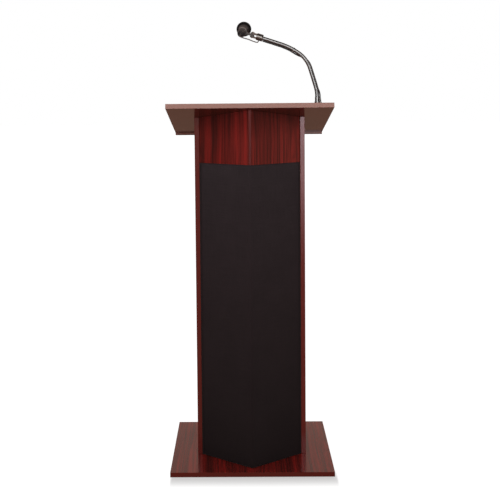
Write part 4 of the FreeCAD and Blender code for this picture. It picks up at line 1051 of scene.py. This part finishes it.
tc = wnode("TexCoord")
sp = wnode("SeparateXYZ")
nt.links.new(tc.outputs["Generated"], sp.inputs[0])
seen_bg = wnode("Background")
seen_bg.inputs[0].default_value = (1, 1, 1, 1)
seen_bg.inputs[1].default_value = 1.0
fill_bg = wnode("Background")
fill_bg.inputs[0].default_value = (1, 0.98, 0.96, 1)
nt.links.new(wramp(sp.outputs[1], -0.75, 0.35, FRONT_FILL, BACK_FILL), fill_bg.inputs[1])
room_bg = wnode("Background")
room_bg.inputs[0].default_value = (1.0, 0.74, 0.62, 1)
mul = wnode("Math", operation="MULTIPLY")
nt.links.new(wramp(sp.outputs[1], 0.20, 0.60, 0.0, 1.0), mul.inputs[0])
hi = wnode("Math", operation="MULTIPLY")
nt.links.new(wramp(sp.outputs[2], 0.12, 0.35, 0.0, ROOM_BACK), hi.inputs[0])
nt.links.new(wramp(sp.outputs[2], 0.37, 0.47, 1.0, 0.72), hi.inputs[1])
nt.links.new(hi.outputs[0], mul.inputs[1])
addn = wnode("Math", operation="ADD")
nt.links.new(mul.outputs[0], addn.inputs[0])
addn.inputs[1].default_value = 0.05
nt.links.new(addn.outputs[0], room_bg.inputs[1])
lp = wnode("LightPath")
m_g = wnode("MixShader")
nt.links.new(lp.outputs["Is Glossy Ray"], m_g.inputs[0])
nt.links.new(fill_bg.outputs[0], m_g.inputs[1])
nt.links.new(room_bg.outputs[0], m_g.inputs[2])
m_c = wnode("MixShader")
nt.links.new(lp.outputs["Is Camera Ray"], m_c.inputs[0])
nt.links.new(m_g.outputs[0], m_c.inputs[1])
nt.links.new(seen_bg.outputs[0], m_c.inputs[2])
wo = wnode("OutputWorld")
nt.links.new(m_c.outputs[0], wo.inputs[0])


def area(name, loc, target, sx, sy, radiance, colour=(1, 1, 1), glossy=True, diffuse=True):
    l = bpy.data.lights.new(name, "AREA")
    l.shape = "RECTANGLE"
    l.size, l.size_y = sx, sy
    l.energy = radiance * math.pi * sx * sy
    l.color = colour
    o = link(bpy.data.objects.new(name, l))
    o.location = loc
    o.rotation_mode = "QUATERNION"
    o.rotation_quaternion = (Vector(target) - Vector(loc)).to_track_quat("-Z", "Y")
    o.visible_camera = False
    o.visible_glossy = glossy
    o.visible_diffuse = diffuse
    return o


area("key_softbox", (0.15, -2.75, 2.08), (0.05, -0.1, 1.15), 2.4, 1.25, 3.6, (1.0, 0.93, 0.87))
area("low_left_fill", (-2.4, -2.2, 1.0), (0, -0.1, 0.8), 1.2, 1.6, 1.3, glossy=False)
area("edge_strip_top", (0.52, -2.86, 1.20), (0.30, -0.1, 1.20), 0.52, 0.62, 6.2, (0.98, 0.92, 1.0), diffuse=False)
area("edge_strip_mid", (0.52, -2.86, 0.66), (0.30, -0.1, 0.66), 0.52, 0.46, 3.7, (1.0, 0.86, 0.90), diffuse=False)

cam_data = bpy.data.cameras.new("camera")
cam = link(bpy.data.objects.new("camera", cam_data))
YAW, PITCH_A, ROLL = -0.00906, 0.05971, -0.00883
f = Vector((math.sin(YAW), math.cos(YAW), 0))
rgt = Vector((math.cos(YAW), -math.sin(YAW), 0))
fwd = f * math.cos(PITCH_A) - Vector((0, 0, 1)) * math.sin(PITCH_A)
upc = Vector((0, 0, 1)) * math.cos(PITCH_A) + f * math.sin(PITCH_A)
r3 = rgt * math.cos(ROLL) + upc * math.sin(ROLL)
u3 = upc * math.cos(ROLL) - rgt * math.sin(ROLL)
CAM = Vector((-0.02979, -2.94073 + DY, 1.30853))
m = Matrix((r3, u3, -fwd)).transposed().to_4x4()
m.translation = CAM
cam.rotation_mode = "QUATERNION"
cam.matrix_world = m
cam_data.sensor_width = 36.0
cam_data.lens = 824.99 / 500.0 * 36.0
cam_data.clip_start, cam_data.clip_end = 0.05, 100.0
SHIFT_X, SHIFT_Y = (250.0 - 233.55) / 500.0, (141.05 - 250.0) / 500.0
cam_data.shift_x, cam_data.shift_y = SHIFT_X, SHIFT_Y
# the shifted lens belongs to this one camera place: anywhere else the lens is centred
for prop, val in (("shift_x", SHIFT_X), ("shift_y", SHIFT_Y)):
    drv = cam_data.driver_add(prop).driver
    drv.type = "SCRIPTED"
    v = drv.variables.new()
    v.name = "cy"
    v.type = "TRANSFORMS"
    v.targets[0].id = cam
    v.targets[0].transform_type = "LOC_Y"
    v.targets[0].transform_space = "WORLD_SPACE"
    v2 = drv.variables.new()
    v2.name = "cz"
    v2.type = "TRANSFORMS"
    v2.targets[0].id = cam
    v2.targets[0].transform_type = "LOC_Z"
    v2.targets[0].transform_space = "WORLD_SPACE"
    drv.expression = "%.6f if abs(cy - %.6f) < 0.001 and abs(cz - %.6f) < 0.001 else 0.0" % (val, CAM.y, CAM.z)
scene.camera = cam

scene.view_settings.view_transform = "Standard"
scene.view_settings.look = "None"
scene.view_settings.exposure = 0.0
scene.view_settings.gamma = 1.0

bpy.context.view_layer.update()
